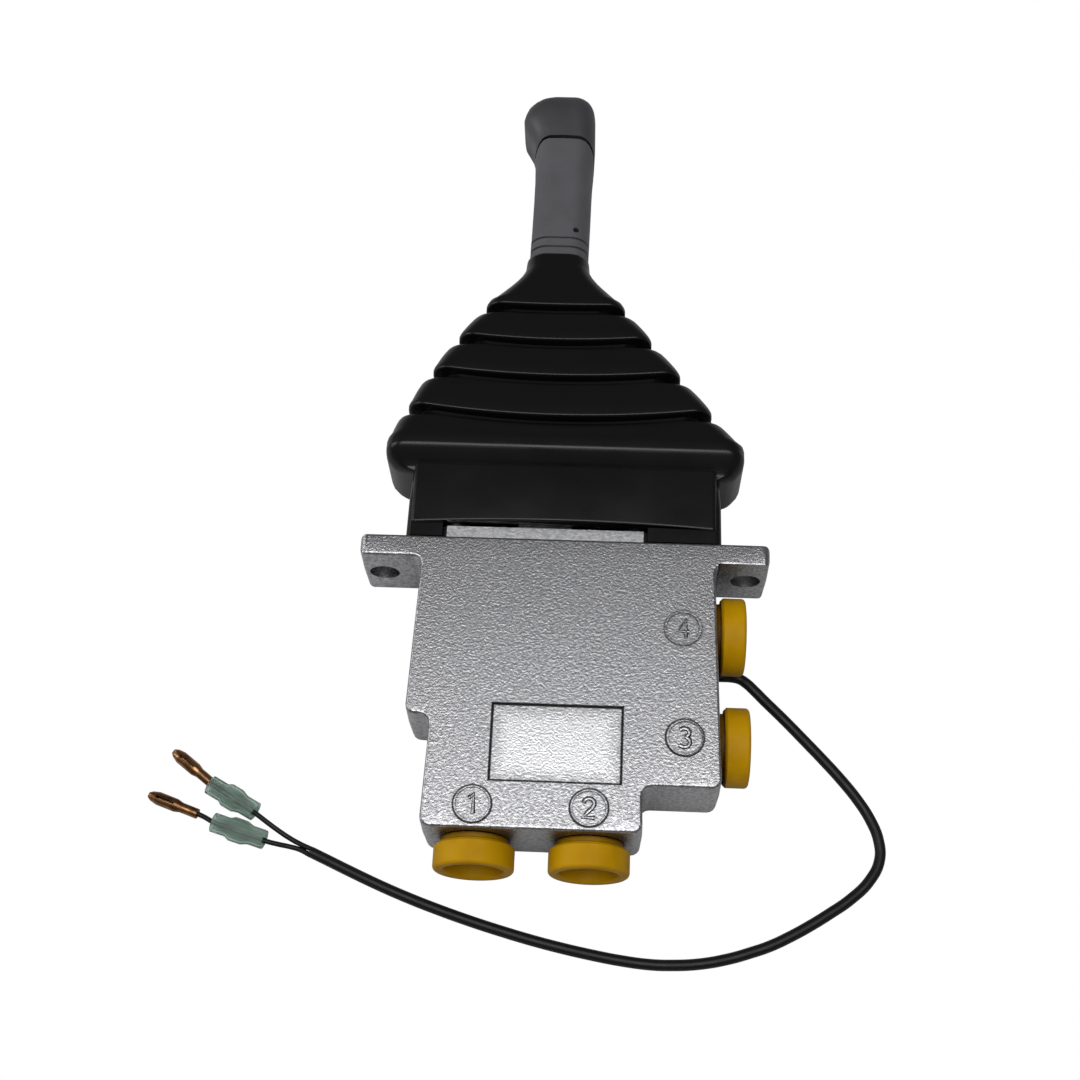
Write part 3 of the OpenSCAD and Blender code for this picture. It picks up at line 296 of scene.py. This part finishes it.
def shading_group(limit):
    group = bpy.data.node_groups.new("smooth_shading", "GeometryNodeTree")
    group.interface.new_socket("Geometry", in_out="INPUT", socket_type="NodeSocketGeometry")
    group.interface.new_socket("Geometry", in_out="OUTPUT", socket_type="NodeSocketGeometry")
    start = add(group, "NodeGroupInput")
    weld = add(group, "GeometryNodeMergeByDistance", {
        "Geometry": start.outputs[0], "Distance": SAME_POINT * MM})
    faces = add(group, "GeometryNodeSetShadeSmooth", {
        "Geometry": weld.outputs["Geometry"], "Shade Smooth": True}, domain="FACE")
    angle = add(group, "GeometryNodeInputMeshEdgeAngle")
    sharp = add(group, "FunctionNodeCompare", {
        "A": angle.outputs["Unsigned Angle"], "B": math.radians(limit)}, operation="GREATER_THAN")
    edges = add(group, "GeometryNodeSetShadeSmooth", {
        "Geometry": faces.outputs["Geometry"], "Selection": sharp.outputs["Result"],
        "Shade Smooth": False}, domain="EDGE")
    end = add(group, "NodeGroupOutput")
    group.links.new(edges.outputs["Geometry"], end.inputs[0])
    return group


SHADING = shading_group(SHARP_ABOVE)


def shade(obj):
    old = obj.data.attributes.get("custom_normal")
    if old is not None:
        obj.data.attributes.remove(old)
    obj.modifiers.new("shading", "NODES").node_group = SHADING
    even = obj.modifiers.new("even", "WEIGHTED_NORMAL")
    even.keep_sharp = True
    even.weight = FLAT_WEIGHT


for node_name, node in nodes.items():
    dress(node, MATERIALS[node_name])
    shade(node)


def new_object(name, data, material, body, *replaced):
    obj = bpy.data.objects.new(name, data)
    scene.collection.objects.link(obj)
    dress(obj, material)
    if body:
        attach(obj, body)
    if replaced:
        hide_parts(*replaced)
    return obj


# Lead: a sheath and two wires that lie on the surface, in millimetres

SHEATH_D, WIRE_D = 3.2, 1.5
SHEATH = [
    [46.19, -33.3, -10.4], [48.2, -33.3, -10.4], [50.6, -33.1, -11], [53.4, -33.4, -11.6],
    [55.6, -34.8, -11.6], [57.7, -36.8, -11.6], [60.6, -39.8, -11.6], [66.6, -45.8, -11.6],
    [72.2, -51.7, -11.6], [77.8, -57.7, -11.6], [83, -63.6, -11.6], [87.5, -69.4, -11.6],
    [91, -75.2, -11.6], [93.1, -81, -11.6], [93.2, -86.8, -11.6], [90.2, -92.8, -11.6],
    [84.6, -98.4, -11.6], [78.6, -102.7, -11.6], [72.9, -106.4, -11.6], [67.2, -109.7, -11.6],
    [61.6, -112.5, -11.6], [56, -114.6, -11.6], [50.4, -116.4, -11.6], [42, -118.2, -11.6],
    [33.6, -118.9, -11.6], [28, -118.9, -11.6], [19.6, -118.1, -11.6], [11.2, -116.8, -11.6],
    [2.7, -115.2, -11.6], [-5.9, -113.3, -11.6], [-14.5, -111.1, -11.6], [-23.1, -108.7, -11.6],
    [-31.8, -106, -11.6], [-40.6, -103, -11.6], [-49.5, -99.6, -11.6], [-58.5, -95.8, -11.6],
    [-67.6, -91.8, -11.6], [-70.4, -90.6, -11.6]]
WIRE_A = [
    [-70.1, -89.8, -11.9], [-73.8, -88.2, -12.4], [-77, -86.6, -12.4], [-80, -84.9, -11.8],
    [-83.4, -82.8, -10.9], [-87, -80.4, -10.4], [-91, -78, -10.2], [-95, -75.8, -10.2],
    [-98.8, -73.4, -10.4], [-101, -72, -10.7], [-102.3, -70.8, -11.2], [-103.4, -70, -11.2]]
WIRE_B = [
    [-70.8, -91.3, -11.9], [-73.6, -89.9, -12.4], [-77, -89.1, -12.4], [-80, -88.8, -11.4],
    [-83.6, -88.2, -10.5], [-88, -86.8, -10.3], [-92.6, -85.4, -10.3], [-97, -84.1, -10.4],
    [-99.8, -83, -10.7], [-102.2, -81.7, -11.2], [-104.4, -80.8, -11.2], [-105.8, -80.3, -11.2]]


def laid_curve(name, route, diameter, replaced):
    """A round cord along a route, as one smooth open curve with capped ends."""
    data = bpy.data.curves.new(name, "CURVE")
    data.dimensions = "3D"
    data.bevel_depth = diameter / 2 * MM
    data.bevel_resolution = 5
    data.resolution_u = 8
    data.use_fill_caps = True
    line = data.splines.new("BEZIER")
    line.bezier_points.add(len(route) - 1)
    for point, place in zip(line.bezier_points, route):
        point.co = Vector(place) * MM
        point.handle_left_type = point.handle_right_type = "AUTO"
    return new_object(name, data, LEAD, "valve", replaced)


sheath = laid_curve("lead_sheath", SHEATH, SHEATH_D, "cord_sheath")
for letter, route in (("a", WIRE_A), ("b", WIRE_B)):
    wire = laid_curve("lead_wire_" + letter, route, WIRE_D, "wire_" + letter)


# Camera, fitted to the corners of the casting in the photo

CAMERA_PLACE = (12.63, -208.21, 476.83)
CAMERA_TURN = (0.42173, 0.02325, 0.04399)       # radians
FOCAL_LENGTH = 57.3

lens = bpy.data.cameras.new("camera")
lens.lens = FOCAL_LENGTH
lens.sensor_width = 36
camera = bpy.data.objects.new("camera", lens)
camera.location = Vector(CAMERA_PLACE) * MM
camera.rotation_euler = CAMERA_TURN
scene.collection.objects.link(camera)
scene.camera = camera


# Boot: a skin with soft folds and lips, in place of the plainer one

ARC_STEPS = 8                       # steps round one corner of a ring
EDGE_STEPS = (28, 14, 28, 14)       # steps along its front, right, back and left


def outline(ring):
    """Points round one ring of the boot or the handle, in the part's axes.

    A ring is its height, middle, half width, front, back, corner radius and sag of its front edge.
    """
    z, x, hw, front, back, r, sag = ring
    corners = [(x - hw + r, -front + r, 180), (x + hw - r, -front + r, 270),
               (x + hw - r, back - r, 0), (x - hw + r, back - r, 90)]
    points = []
    for k, (cx, cy, first) in enumerate(corners):
        for i in range(ARC_STEPS + 1):
            a = math.radians(first + 90 * i / ARC_STEPS)
            points.append((cx + r * math.cos(a), cy + r * math.sin(a)))
        nx, ny, _ = corners[(k + 1) % 4]
        a = math.radians(first + 90)
        here = (cx + r * math.cos(a), cy + r * math.sin(a))
        there = (nx + r * math.cos(a), ny + r * math.sin(a))
        for i in range(1, EDGE_STEPS[k]):
            t = i / EDGE_STEPS[k]
            points.append((here[0] + t * (there[0] - here[0]), here[1] + t * (there[1] - here[1])))
    out = []
    for px, py in points:
        across = min(1.0, abs((px - x) / hw))
        toward = max(0.0, -py / front)
        out.append(Vector((px, z - sag * (1 - across ** 2) * toward, -py)) * MM)
    return out


RIM_Z, RIM_HW = 29.5, 54.6
PITCH, CLOSING = 14, 0.375          # from pleat to pleat, and how the pitch closes up
FIRST_IN, NEXT_IN = 7.8, 8.25       # how far each pleat's sides stand in from the one below
LEAN = 0.3
FRONT = HALF + 1.2
WALL = 1.8
FOLD_DEEP = 5.2                     # how far a fold's inside lies behind its outside
BAND_X = -0.5                       # the middle of the band
SHOULDER_Z, SHOULDER_H = 22.2, 2.2  # where the middle passes from the band's to the rim's
COLLAR_Z = 100.6
SAGS = [0, 3.5, 2.4, 1.8, 0.5]      # how far the front edge of the rim and of each pleat sags
RIM_PROUD = 0.6                     # how much further forward the slope above the rim starts


def pleat_z(i):
    """The height of a pleat's lower edge. They close up a little toward the collar."""
    return RIM_Z + PITCH * i - CLOSING * i * i


def pleat_hw(i):
    """Half the width of a pleat. Number 0 is the rim."""
    return RIM_HW - (FIRST_IN + NEXT_IN * (i - 1) if i else 0)


def boot_x(i):
    """The middle of a pleat. The boot leans toward the lever's axis."""
    return LEVER_X + (4 - i) ** 2 * LEAN


# Band and rim, by height: half width, front and corner
BAND = [(0, 46.9, 12.6, 2), (12, 46.75, 12.6, 2.1), (17.5, 46.4, 12.5, 2.2), (18.9, 46.4, 12.2, 2.3),
        (20.5, 46.4, 11.0, 2.5), (22.2, 46.6, 10.3, 2.7), (22.6, 48.8, 10.2, 3.2),
        (23.3, 50.9, 10.2, 3.6), (24.0, 52.0, 10.5, 3.9), (25.6, 53.6, 11.9, 4.4),
        (27.0, 54.3, 13.1, 4.9), (28.4, 54.55, 14.25, 5.3), (29.2, 54.6, 14.8, 5.6),
        (29.5, 54.6, 14.92, 5.7), (29.8, 54.6, 14.99, 5.8), (30.2, 54.6, 15.02, 6),
        (31.6, 54.6, 15.0, 6), (33.0, 54.3, 14.98, 6.1)]
# The band's face, which stands proud up to its own top edge, by height: half width, front and sag
FACE = [(4.0, 45.4, 13.2, -1.6), (4.1, 45.48, 13.35, -1.6), (4.3, 45.55, 13.42, -1.6),
        (4.7, 45.55, 13.45, -1.55), (22.9, 45.5, 13.45, -0.1), (23.35, 45.47, 13.42, 0),
        (23.6, 45.4, 13.34, 0), (23.7, 45.3, 13.2, 0)]
FACE_X, FACE_BACK, FACE_R = -0.7, 10.2, 1.5
# One pleat, by height above its edge: how far side, front and back are drawn in, and the corner
PLEAT = [(-1.2, 4.35, 1.7, 3.3, 5), (-0.5, 4.3, 1.75, 3.2, 5), (-0.2, 4.1, 2.1, 3.0, 5),
         (-0.05, 3.6, 3.2, 2.4, 5.1), (0.15, 1.6, 3.4, 1.2, 5.3), (0.35, 0.4, 3.3, 0.3, 5.5),
         (0.55, 0.1, 2.2, 0.05, 5.7), (0.72, 0, 1.0, 0, 5.8), (0.82, 0, 0.52, 0, 5.9),
         (0.94, 0, 0.22, 0, 6), (1.1, 0, 0.06, 0, 6.1), (1.3, 0, 0, 0, 6.1), (1.8, 0, 0, 0, 6.1),
         (2.4, 0.15, 0, 0, 6.3), (3.4, 0.65, 0, 0.05, 6.5)]
PLEAT_LOW, PLEAT_TOP = PLEAT[0][0], PLEAT[-1][0]
# The slope above a pleat, by share of the way to the next: how far side, front and back are drawn in
SLOPE = [(0.2, 1.5, 0.15, 0.15), (0.4, 2.4, 0.4, 0.5), (0.62, 3.45, 0.8, 1.2), (0.78, 4.3, 1.1, 1.8),
         (0.86, 5.0, 1.25, 2.1), (0.91, 6.0, 1.35, 2.4), (0.94, 7.3, 1.45, 2.6), (0.965, 9.0, 1.55, 2.8),
         (0.985, 10.8, 1.65, 3.0)]
SLOPE_R = 6.6
# From the top pleat to the collar, by height above its edge: half width, front, back and sag
NECK = [(4.3, 20.1, 14.3, 13.1, 0.5), (6.2, 18.4, 13.8, 12.8, 0.5), (9.2, 15.6, 13.3, 11.6, 0.4),
        (11.6, 13.5, 13.0, 11.8, 0.3), (14.0, 11.7, 12.85, 12.3, 0.1), (16.5, 10.4, 12.7, 12.7, 0)]
NECK_R = 6.7
# The collar, by distance below its top: half width, half depth and corner
COLLAR = [(3.2, 10.25, 12.3, 6.6), (1.0, 10.05, 12.2, 6.6), (0.3, 9.95, 12.05, 6.5),
          (0, 9.75, 11.75, 6.3), (0, 9.55, 11.35, 6.0)]
# A fold's inside, by height above its edge: how far side and back are drawn in, and the corner
INNER_FOLD = [(1.2, 2.5, WALL, 5), (-0.6, 7.3, FOLD_DEEP, 4)]


def boot_rings():
    """The outer rings, from the flange up to the collar."""
    rings = []
    for z, hw, front, r in BAND:
        share = min(1, max(0, (z - SHOULDER_Z) / SHOULDER_H))
        rings.append((z, BAND_X + share * (boot_x(0) - BAND_X), hw, front, HALF, r, 0))
    for i in range(5):
        z, hw, x, sag = pleat_z(i), pleat_hw(i), boot_x(i), SAGS[i]
        if i:
            rings += [(z + dz, x, hw - side, FRONT - front, HALF - back, r, sag)
                      for dz, side, front, back, r in PLEAT]
        if i < 4:
            top = z + PLEAT_TOP
            rise = pleat_z(i + 1) + PLEAT_LOW - top
            proud = 0 if i else RIM_PROUD
            for t, side, front, back in SLOPE:
                rings.append((top + t * rise, x + t * (boot_x(i + 1) - x), hw - side,
                              FRONT + proud * (1 - t) - front, HALF - back, SLOPE_R,
                              sag + t * (SAGS[i + 1] - sag)))
    rings += [(pleat_z(4) + dz, LEVER_X, hw, front, back, NECK_R, sag)
              for dz, hw, front, back, sag in NECK]
    rings += [(COLLAR_Z - down, LEVER_X, hw, deep, deep, r, 0) for down, hw, deep, r in COLLAR]
    return rings


def inner_rings():
    """The inner rings, from the collar down to the flange, coarser."""
    inside = FRONT - FOLD_DEEP
    rings = [(COLLAR_Z - down, LEVER_X, 9.45, 11.3, 11.3, 5.8, 0) for down in (0.4, 9)]
    for i in (4, 3, 2, 1):
        z, hw, x, sag = pleat_z(i), pleat_hw(i), boot_x(i), SAGS[i]
        rings += [(z + dz, x, hw - side, inside, HALF - back, r, sag) for dz, side, back, r in INNER_FOLD]
    rings += [(31.3, boot_x(0), 51.0, 9.6, HALF - WALL, 4, 0),
              (25.6, BAND_X, 44.7, 9.2, HALF - WALL, 2, 0),
              (0, BAND_X, 45.1, 11.7, HALF - WALL, 2, 0)]
    return rings


def loft(name, rings, closed=True):
    """A mesh through a stack of rings with the same number of points."""
    mesh = bpy.data.meshes.new(name)
    bm = bmesh.new()
    rows = [[bm.verts.new(p) for p in ring] for ring in rings]
    pairs = list(zip(rows, rows[1:]))
    if closed:
        pairs.append((rows[-1], rows[0]))
    for low, high in pairs:
        for i in range(len(low)):
            j = (i + 1) % len(low)
            bm.faces.new((low[i], low[j], high[j], high[i]))
    if not closed:
        bm.faces.new(list(reversed(rows[0])))
        bm.faces.new(rows[-1])
    bmesh.ops.recalc_face_normals(bm, faces=bm.faces)
    bm.to_mesh(mesh)
    bm.free()
    for face in mesh.polygons:
        face.use_smooth = True
    return mesh


def box_mesh(name, low, high):
    mesh = bpy.data.meshes.new(name)
    bm = bmesh.new()
    bmesh.ops.create_cube(bm, size=1)
    low, high = Vector(low) * MM, Vector(high) * MM
    for v in bm.verts:
        v.co = Vector([low[k] + (v.co[k] + 0.5) * (high[k] - low[k]) for k in range(3)])
    bm.to_mesh(mesh)
    bm.free()
    return mesh


def final_mesh(obj):
    """Carries out the modifiers of a piece and keeps the result as its mesh."""
    graph = bpy.context.evaluated_depsgraph_get()
    mesh = bpy.data.meshes.new_from_object(obj.evaluated_get(graph))
    obj.modifiers.clear()
    obj.data = mesh


def combine(obj, mesh, operation):
    """Joins, cuts or trims a piece with a mesh."""
    tool = new_object("tool", mesh, obj.data.materials[0], None)
    step = obj.modifiers.new("combine", "BOOLEAN")
    step.operation = operation
    step.object = tool
    final_mesh(obj)
    bpy.data.objects.remove(tool)


ARCH_LOW, ARCH_HIGH = (-36.5, -1, 6), (24.5, 4.8, 20)       # over the bracket's plate
BOOT_SHARP_ABOVE, HANDLE_SHARP_ABOVE = 40, 38               # degrees

boot = new_object("boot_skin", loft("boot_skin", [outline(r) for r in boot_rings() + inner_rings()]),
                  BOOT, None)
face = loft("band_face", [outline((z, FACE_X, hw, front, -FACE_BACK, FACE_R, sag))
                          for z, hw, front, sag in FACE], closed=False)
combine(boot, face, "UNION")
combine(boot, box_mesh("arch", ARCH_LOW, ARCH_HIGH), "DIFFERENCE")
boot.data.set_sharp_from_angle(angle=math.radians(BOOT_SHARP_ABOVE))
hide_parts("boot")
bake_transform(boot)


# Handle: one outer form, parted along an arched seam into the grip and the head

# The grip's straight part: left and right edge, front and back depth, and corner radius
SHANK = (-15.2, 3.4, 11, 11, 5.7)
GROOVES = (103.4, 106.8)        # lower edges of the two rings pressed into the shank
GROOVE_H, GROOVE_IN = 0.8, 0.5
GROOVE_SIDE = 0.1               # how much of its height each side of a groove takes
# Height, left and right edge, front and back depth, and corner radius
HANDLE = [(91.6, -15.3, 3.3, 11, 11, 5.7), (103, -15.25, 3.35, 11, 11, 5.7), (105.5, *SHANK),
          (109, -15.1, 3.5, 11, 11, 5.7), (116, -15.0, 3.6, 11, 11, 5.7),
          (124, -14.9, 3.7, 11, 11, 5.7), (132, -14.9, 3.75, 11, 11, 5.7),
          (137.1, -15.05, 3.85, 11.05, 11.05, 5.7), (141.9, -15.35, 4.1, 11.3, 11.3, 5.8),
          (144.3, -15.55, 4.2, 11.45, 11.45, 5.9), (146.7, -15.85, 4.25, 11.6, 11.6, 6),
          (149.1, -16.55, 4.3, 11.85, 11.85, 6.1), (151.6, -17.85, 4.35, 12.05, 12.1, 6.3),
          (154.2, -19.25, 4.35, 12.2, 12.2, 6.4), (156.4, -19.65, 4.3, 12.15, 12.2, 6.4),
          (158.4, -19.2, 4.15, 12, 12.2, 6.3), (160.4, -18.5, 3.85, 11.6, 12.1, 6.1),
          (162.2, -17.3, 3.4, 10.9, 11.9, 5.9), (163.8, -15.9, 2.8, 9.9, 11.5, 5.5),
          (165.2, -13.8, 2.0, 8.6, 11, 5), (166.2, -11.4, 0.9, 7.2, 10.4, 4.5),
          (166.6, -9.0, -0.5, 5.9, 9.6, 3.4)]
# The seam from right to left, on the grip's side of the gap and on the head's
GRIP_SEAM = [(5.0, 137.5), (4.7, 139.5), (4.35, 141.5), (3.7, 143.2), (2.6, 144.7), (1.2, 145.5),
             (-0.6, 145.8), (-5.8, 146.0), (-11, 145.9), (-12.6, 145.5), (-13.9, 144.4),
             (-14.8, 142.7), (-15.3, 140.8), (-15.8, 137.5)]
HEAD_SEAM = [(5.9, 136.9), (5.0, 139.6), (4.7, 141.7), (4.05, 143.8), (2.9, 145.6), (1.4, 146.7),
             (-0.6, 147.1), (-5.8, 147.3), (-11, 147.1), (-12.9, 146.4), (-14.2, 145.0),
             (-15.15, 142.9), (-15.65, 140.9), (-16.6, 136.9)]
# Holes, each with its radius: for the pin right through the grip, and for the switch and its button
PIN_X, PIN_Z, PIN_REACH, PIN_R = -0.6, 110.4, 20, 0.95
BUTTON_X, BUTTON_Y = -7.6, 4
SWITCH_FROM, SWITCH_TO, SWITCH_R = 141, 160.8, 5.6
BUTTON_FROM, BUTTON_TO, BUTTON_R = 160, 175, 4.55


def handle_rings():
    """The rings of the whole handle, with those of the grooves between them."""
    rings = []
    for z, left, right, front, back, r in HANDLE:
        rings.append((z, (left + right) / 2, (right - left) / 2, front, back, r, 0))
    left, right, front, back, r = SHANK
    for z in GROOVES:
        for dz, deep in ((0, 0), (GROOVE_SIDE, GROOVE_IN), (GROOVE_H - GROOVE_SIDE, GROOVE_IN),
                         (GROOVE_H, 0)):
            rings.append((z + dz, (left + right) / 2, (right - left) / 2 - deep, front - deep,
                          back - deep, r, 0))
    return sorted(rings)


def seam_prism(seam):
    """A block through the whole depth that ends upward at the seam."""
    low, wide, deep = 85, 30, 20
    line = [(-wide, low), (wide, low), (wide, seam[0][1])] + seam + [(-wide, seam[-1][1])]
    mesh = bpy.data.meshes.new("seam")
    bm = bmesh.new()
    near, far = [[bm.verts.new(Vector((x, z, side)) * MM) for x, z in line] for side in (-deep, deep)]
    bm.faces.new(near)
    bm.faces.new(list(reversed(far)))
    for i in range(len(line)):
        j = (i + 1) % len(line)
        bm.faces.new((near[j], near[i], far[i], far[j]))
    bmesh.ops.recalc_face_normals(bm, faces=bm.faces)
    bm.to_mesh(mesh)
    bm.free()
    return mesh


def bore_mesh(radius, start, end):
    """A round tool between two points."""
    start, end = Vector(start) * MM, Vector(end) * MM
    mesh = bpy.data.meshes.new("bore")
    bm = bmesh.new()
    bmesh.ops.create_cone(bm, cap_ends=True, segments=48, radius1=radius * MM, radius2=radius * MM,
                          depth=(end - start).length)
    turn = (end - start).to_track_quat("Z", "Y").to_matrix().to_4x4()
    turn.translation = (start + end) / 2
    bm.transform(turn)
    bm.to_mesh(mesh)
    bm.free()
    return mesh


def button_bore(radius, low, high):
    return bore_mesh(radius, (BUTTON_X, low, -BUTTON_Y), (BUTTON_X, high, -BUTTON_Y))


handle = [outline(r) for r in handle_rings()]
grip = new_object("grip_skin", loft("grip_skin", handle, closed=False), GRIP, None)
combine(grip, seam_prism(GRIP_SEAM), "INTERSECT")
combine(grip, bore_mesh(PIN_R, (PIN_X, PIN_Z, -PIN_REACH), (PIN_X, PIN_Z, PIN_REACH)), "DIFFERENCE")
head = new_object("head_skin", loft("head_skin", handle, closed=False), HEAD, None)
combine(head, seam_prism(HEAD_SEAM), "DIFFERENCE")
combine(head, button_bore(SWITCH_R, SWITCH_FROM, SWITCH_TO), "DIFFERENCE")
combine(head, button_bore(BUTTON_R, BUTTON_FROM, BUTTON_TO), "DIFFERENCE")
for piece, replaced, slot_name in ((grip, "grip", "grip_plastic"), (head, "head_cap", "head_plastic")):
    piece.data.set_sharp_from_angle(angle=math.radians(HANDLE_SHARP_ABOVE))
    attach(piece, "lever")
    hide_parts(replaced)


# Plain numbers cast beside the ports, drawn as round strokes that are partly sunk in the front

DIGIT_SIZE = 1.1
STROKE_R = 0.85
DIGITS = {
    "1": [[(-0.9, 1.5), (0.3, 2.5), (0.3, -2.5)]],
    "2": [[(-1.4, 1.3), (-1.1, 2.1), (-0.3, 2.5), (0.6, 2.4), (1.3, 1.7), (1.3, 0.9), (0.8, 0.0),
           (-0.4, -1.2), (-1.5, -2.5), (1.5, -2.5)]],
    "3": [[(-1.3, 2.1), (-0.4, 2.5), (0.6, 2.4), (1.2, 1.7), (1.1, 0.8), (0.2, 0.2)],
          [(0.2, 0.2), (1.2, -0.4), (1.4, -1.4), (0.8, -2.3), (-0.3, -2.5), (-1.4, -2.0)]],
    "4": [[(0.7, -2.5), (0.7, 2.5), (-1.6, -0.9), (1.6, -0.9)]]}
# How deep each stroke's middle lies: the 4 is the faintest
SUNK = {"1": 0.5, "2": 0.5, "3": 0.5, "4": 0.56}


def number(digit, x, y):
    data = bpy.data.curves.new("port_number_" + digit, "CURVE")
    data.dimensions = "3D"
    data.bevel_depth = STROKE_R * MM
    data.bevel_resolution = 3
    data.use_fill_caps = True
    for stroke in DIGITS[digit]:
        line = data.splines.new("POLY")
        line.points.add(len(stroke) - 1)
        for point, (px, py) in zip(line.points, stroke):
            point.co = ((x + px * DIGIT_SIZE) * MM, (y + py * DIGIT_SIZE) * MM,
                        (HALF - SUNK[digit]) * MM, 1)
    obj = new_object("port_number_" + digit, data, CAST, "valve")


for digit, (x, y, _) in zip(DIGITS, RINGS):
    number(digit, x, y)


# Studio: a pale floor, a broad light overhead, and a weaker one from the left

FLOOR_HALF, FLOOR_THICK, FLOOR_GAP = 2500, 20, 0.02
ROOM_LIGHT = 0.15


def studio_floor():
    """A wide slab just below the lead, pale for the light and pure white for the camera."""
    obj = new_object("floor", box_mesh("floor", (-FLOOR_HALF, -FLOOR_HALF, FLOOR - FLOOR_THICK),
                                       (FLOOR_HALF, FLOOR_HALF, FLOOR - FLOOR_GAP)), None, None)
    material, tree = empty_material("floor_paper")
    paper = add(tree, "ShaderNodeBsdfPrincipled", {"Base Color": linear("c4c4c4"), "Roughness": 0.9})
    white = add(tree, "ShaderNodeEmission", {"Color": (1, 1, 1, 1), "Strength": 1.0})
    path = add(tree, "ShaderNodeLightPath")
    mix = add(tree, "ShaderNodeMixShader", {
        0: path.outputs["Is Camera Ray"], 1: paper.outputs["BSDF"], 2: white.outputs["Emission"]})
    add(tree, "ShaderNodeOutputMaterial", {"Surface": mix.outputs["Shader"]})
    dress(obj, material)


def studio_sky():
    """A dim even light all round, seen by the camera as pure white."""
    world = bpy.data.worlds.new("studio")
    world.use_nodes = True
    tree = world.node_tree
    tree.nodes.clear()
    path = add(tree, "ShaderNodeLightPath")
    room = add(tree, "ShaderNodeBackground", {"Color": (1, 1, 1, 1), "Strength": ROOM_LIGHT})
    white = add(tree, "ShaderNodeBackground", {"Color": (1, 1, 1, 1), "Strength": 1.0})
    mix = add(tree, "ShaderNodeMixShader", {
        0: path.outputs["Is Camera Ray"], 1: room.outputs["Background"], 2: white.outputs["Background"]})
    add(tree, "ShaderNodeOutputWorld", {"Surface": mix.outputs["Shader"]})
    scene.world = world


def area_light(name, place, aim, width, height, power):
    data = bpy.data.lights.new(name, "AREA")
    data.shape = "RECTANGLE"
    data.size = width * MM
    data.size_y = height * MM
    data.energy = power
    obj = bpy.data.objects.new(name, data)
    obj.location = Vector(place) * MM
    obj.rotation_euler = (Vector(aim) - Vector(place)).to_track_quat("-Z", "Y").to_euler()
    scene.collection.objects.link(obj)


studio_floor()
studio_sky()
area_light("overhead", (0, -150, 900), (0, -40, 0), 900, 560, 7)
area_light("left", (-800, 100, 420), (0, 0, 0), 500, 500, 2.5)

scene.view_settings.view_transform = "Standard"
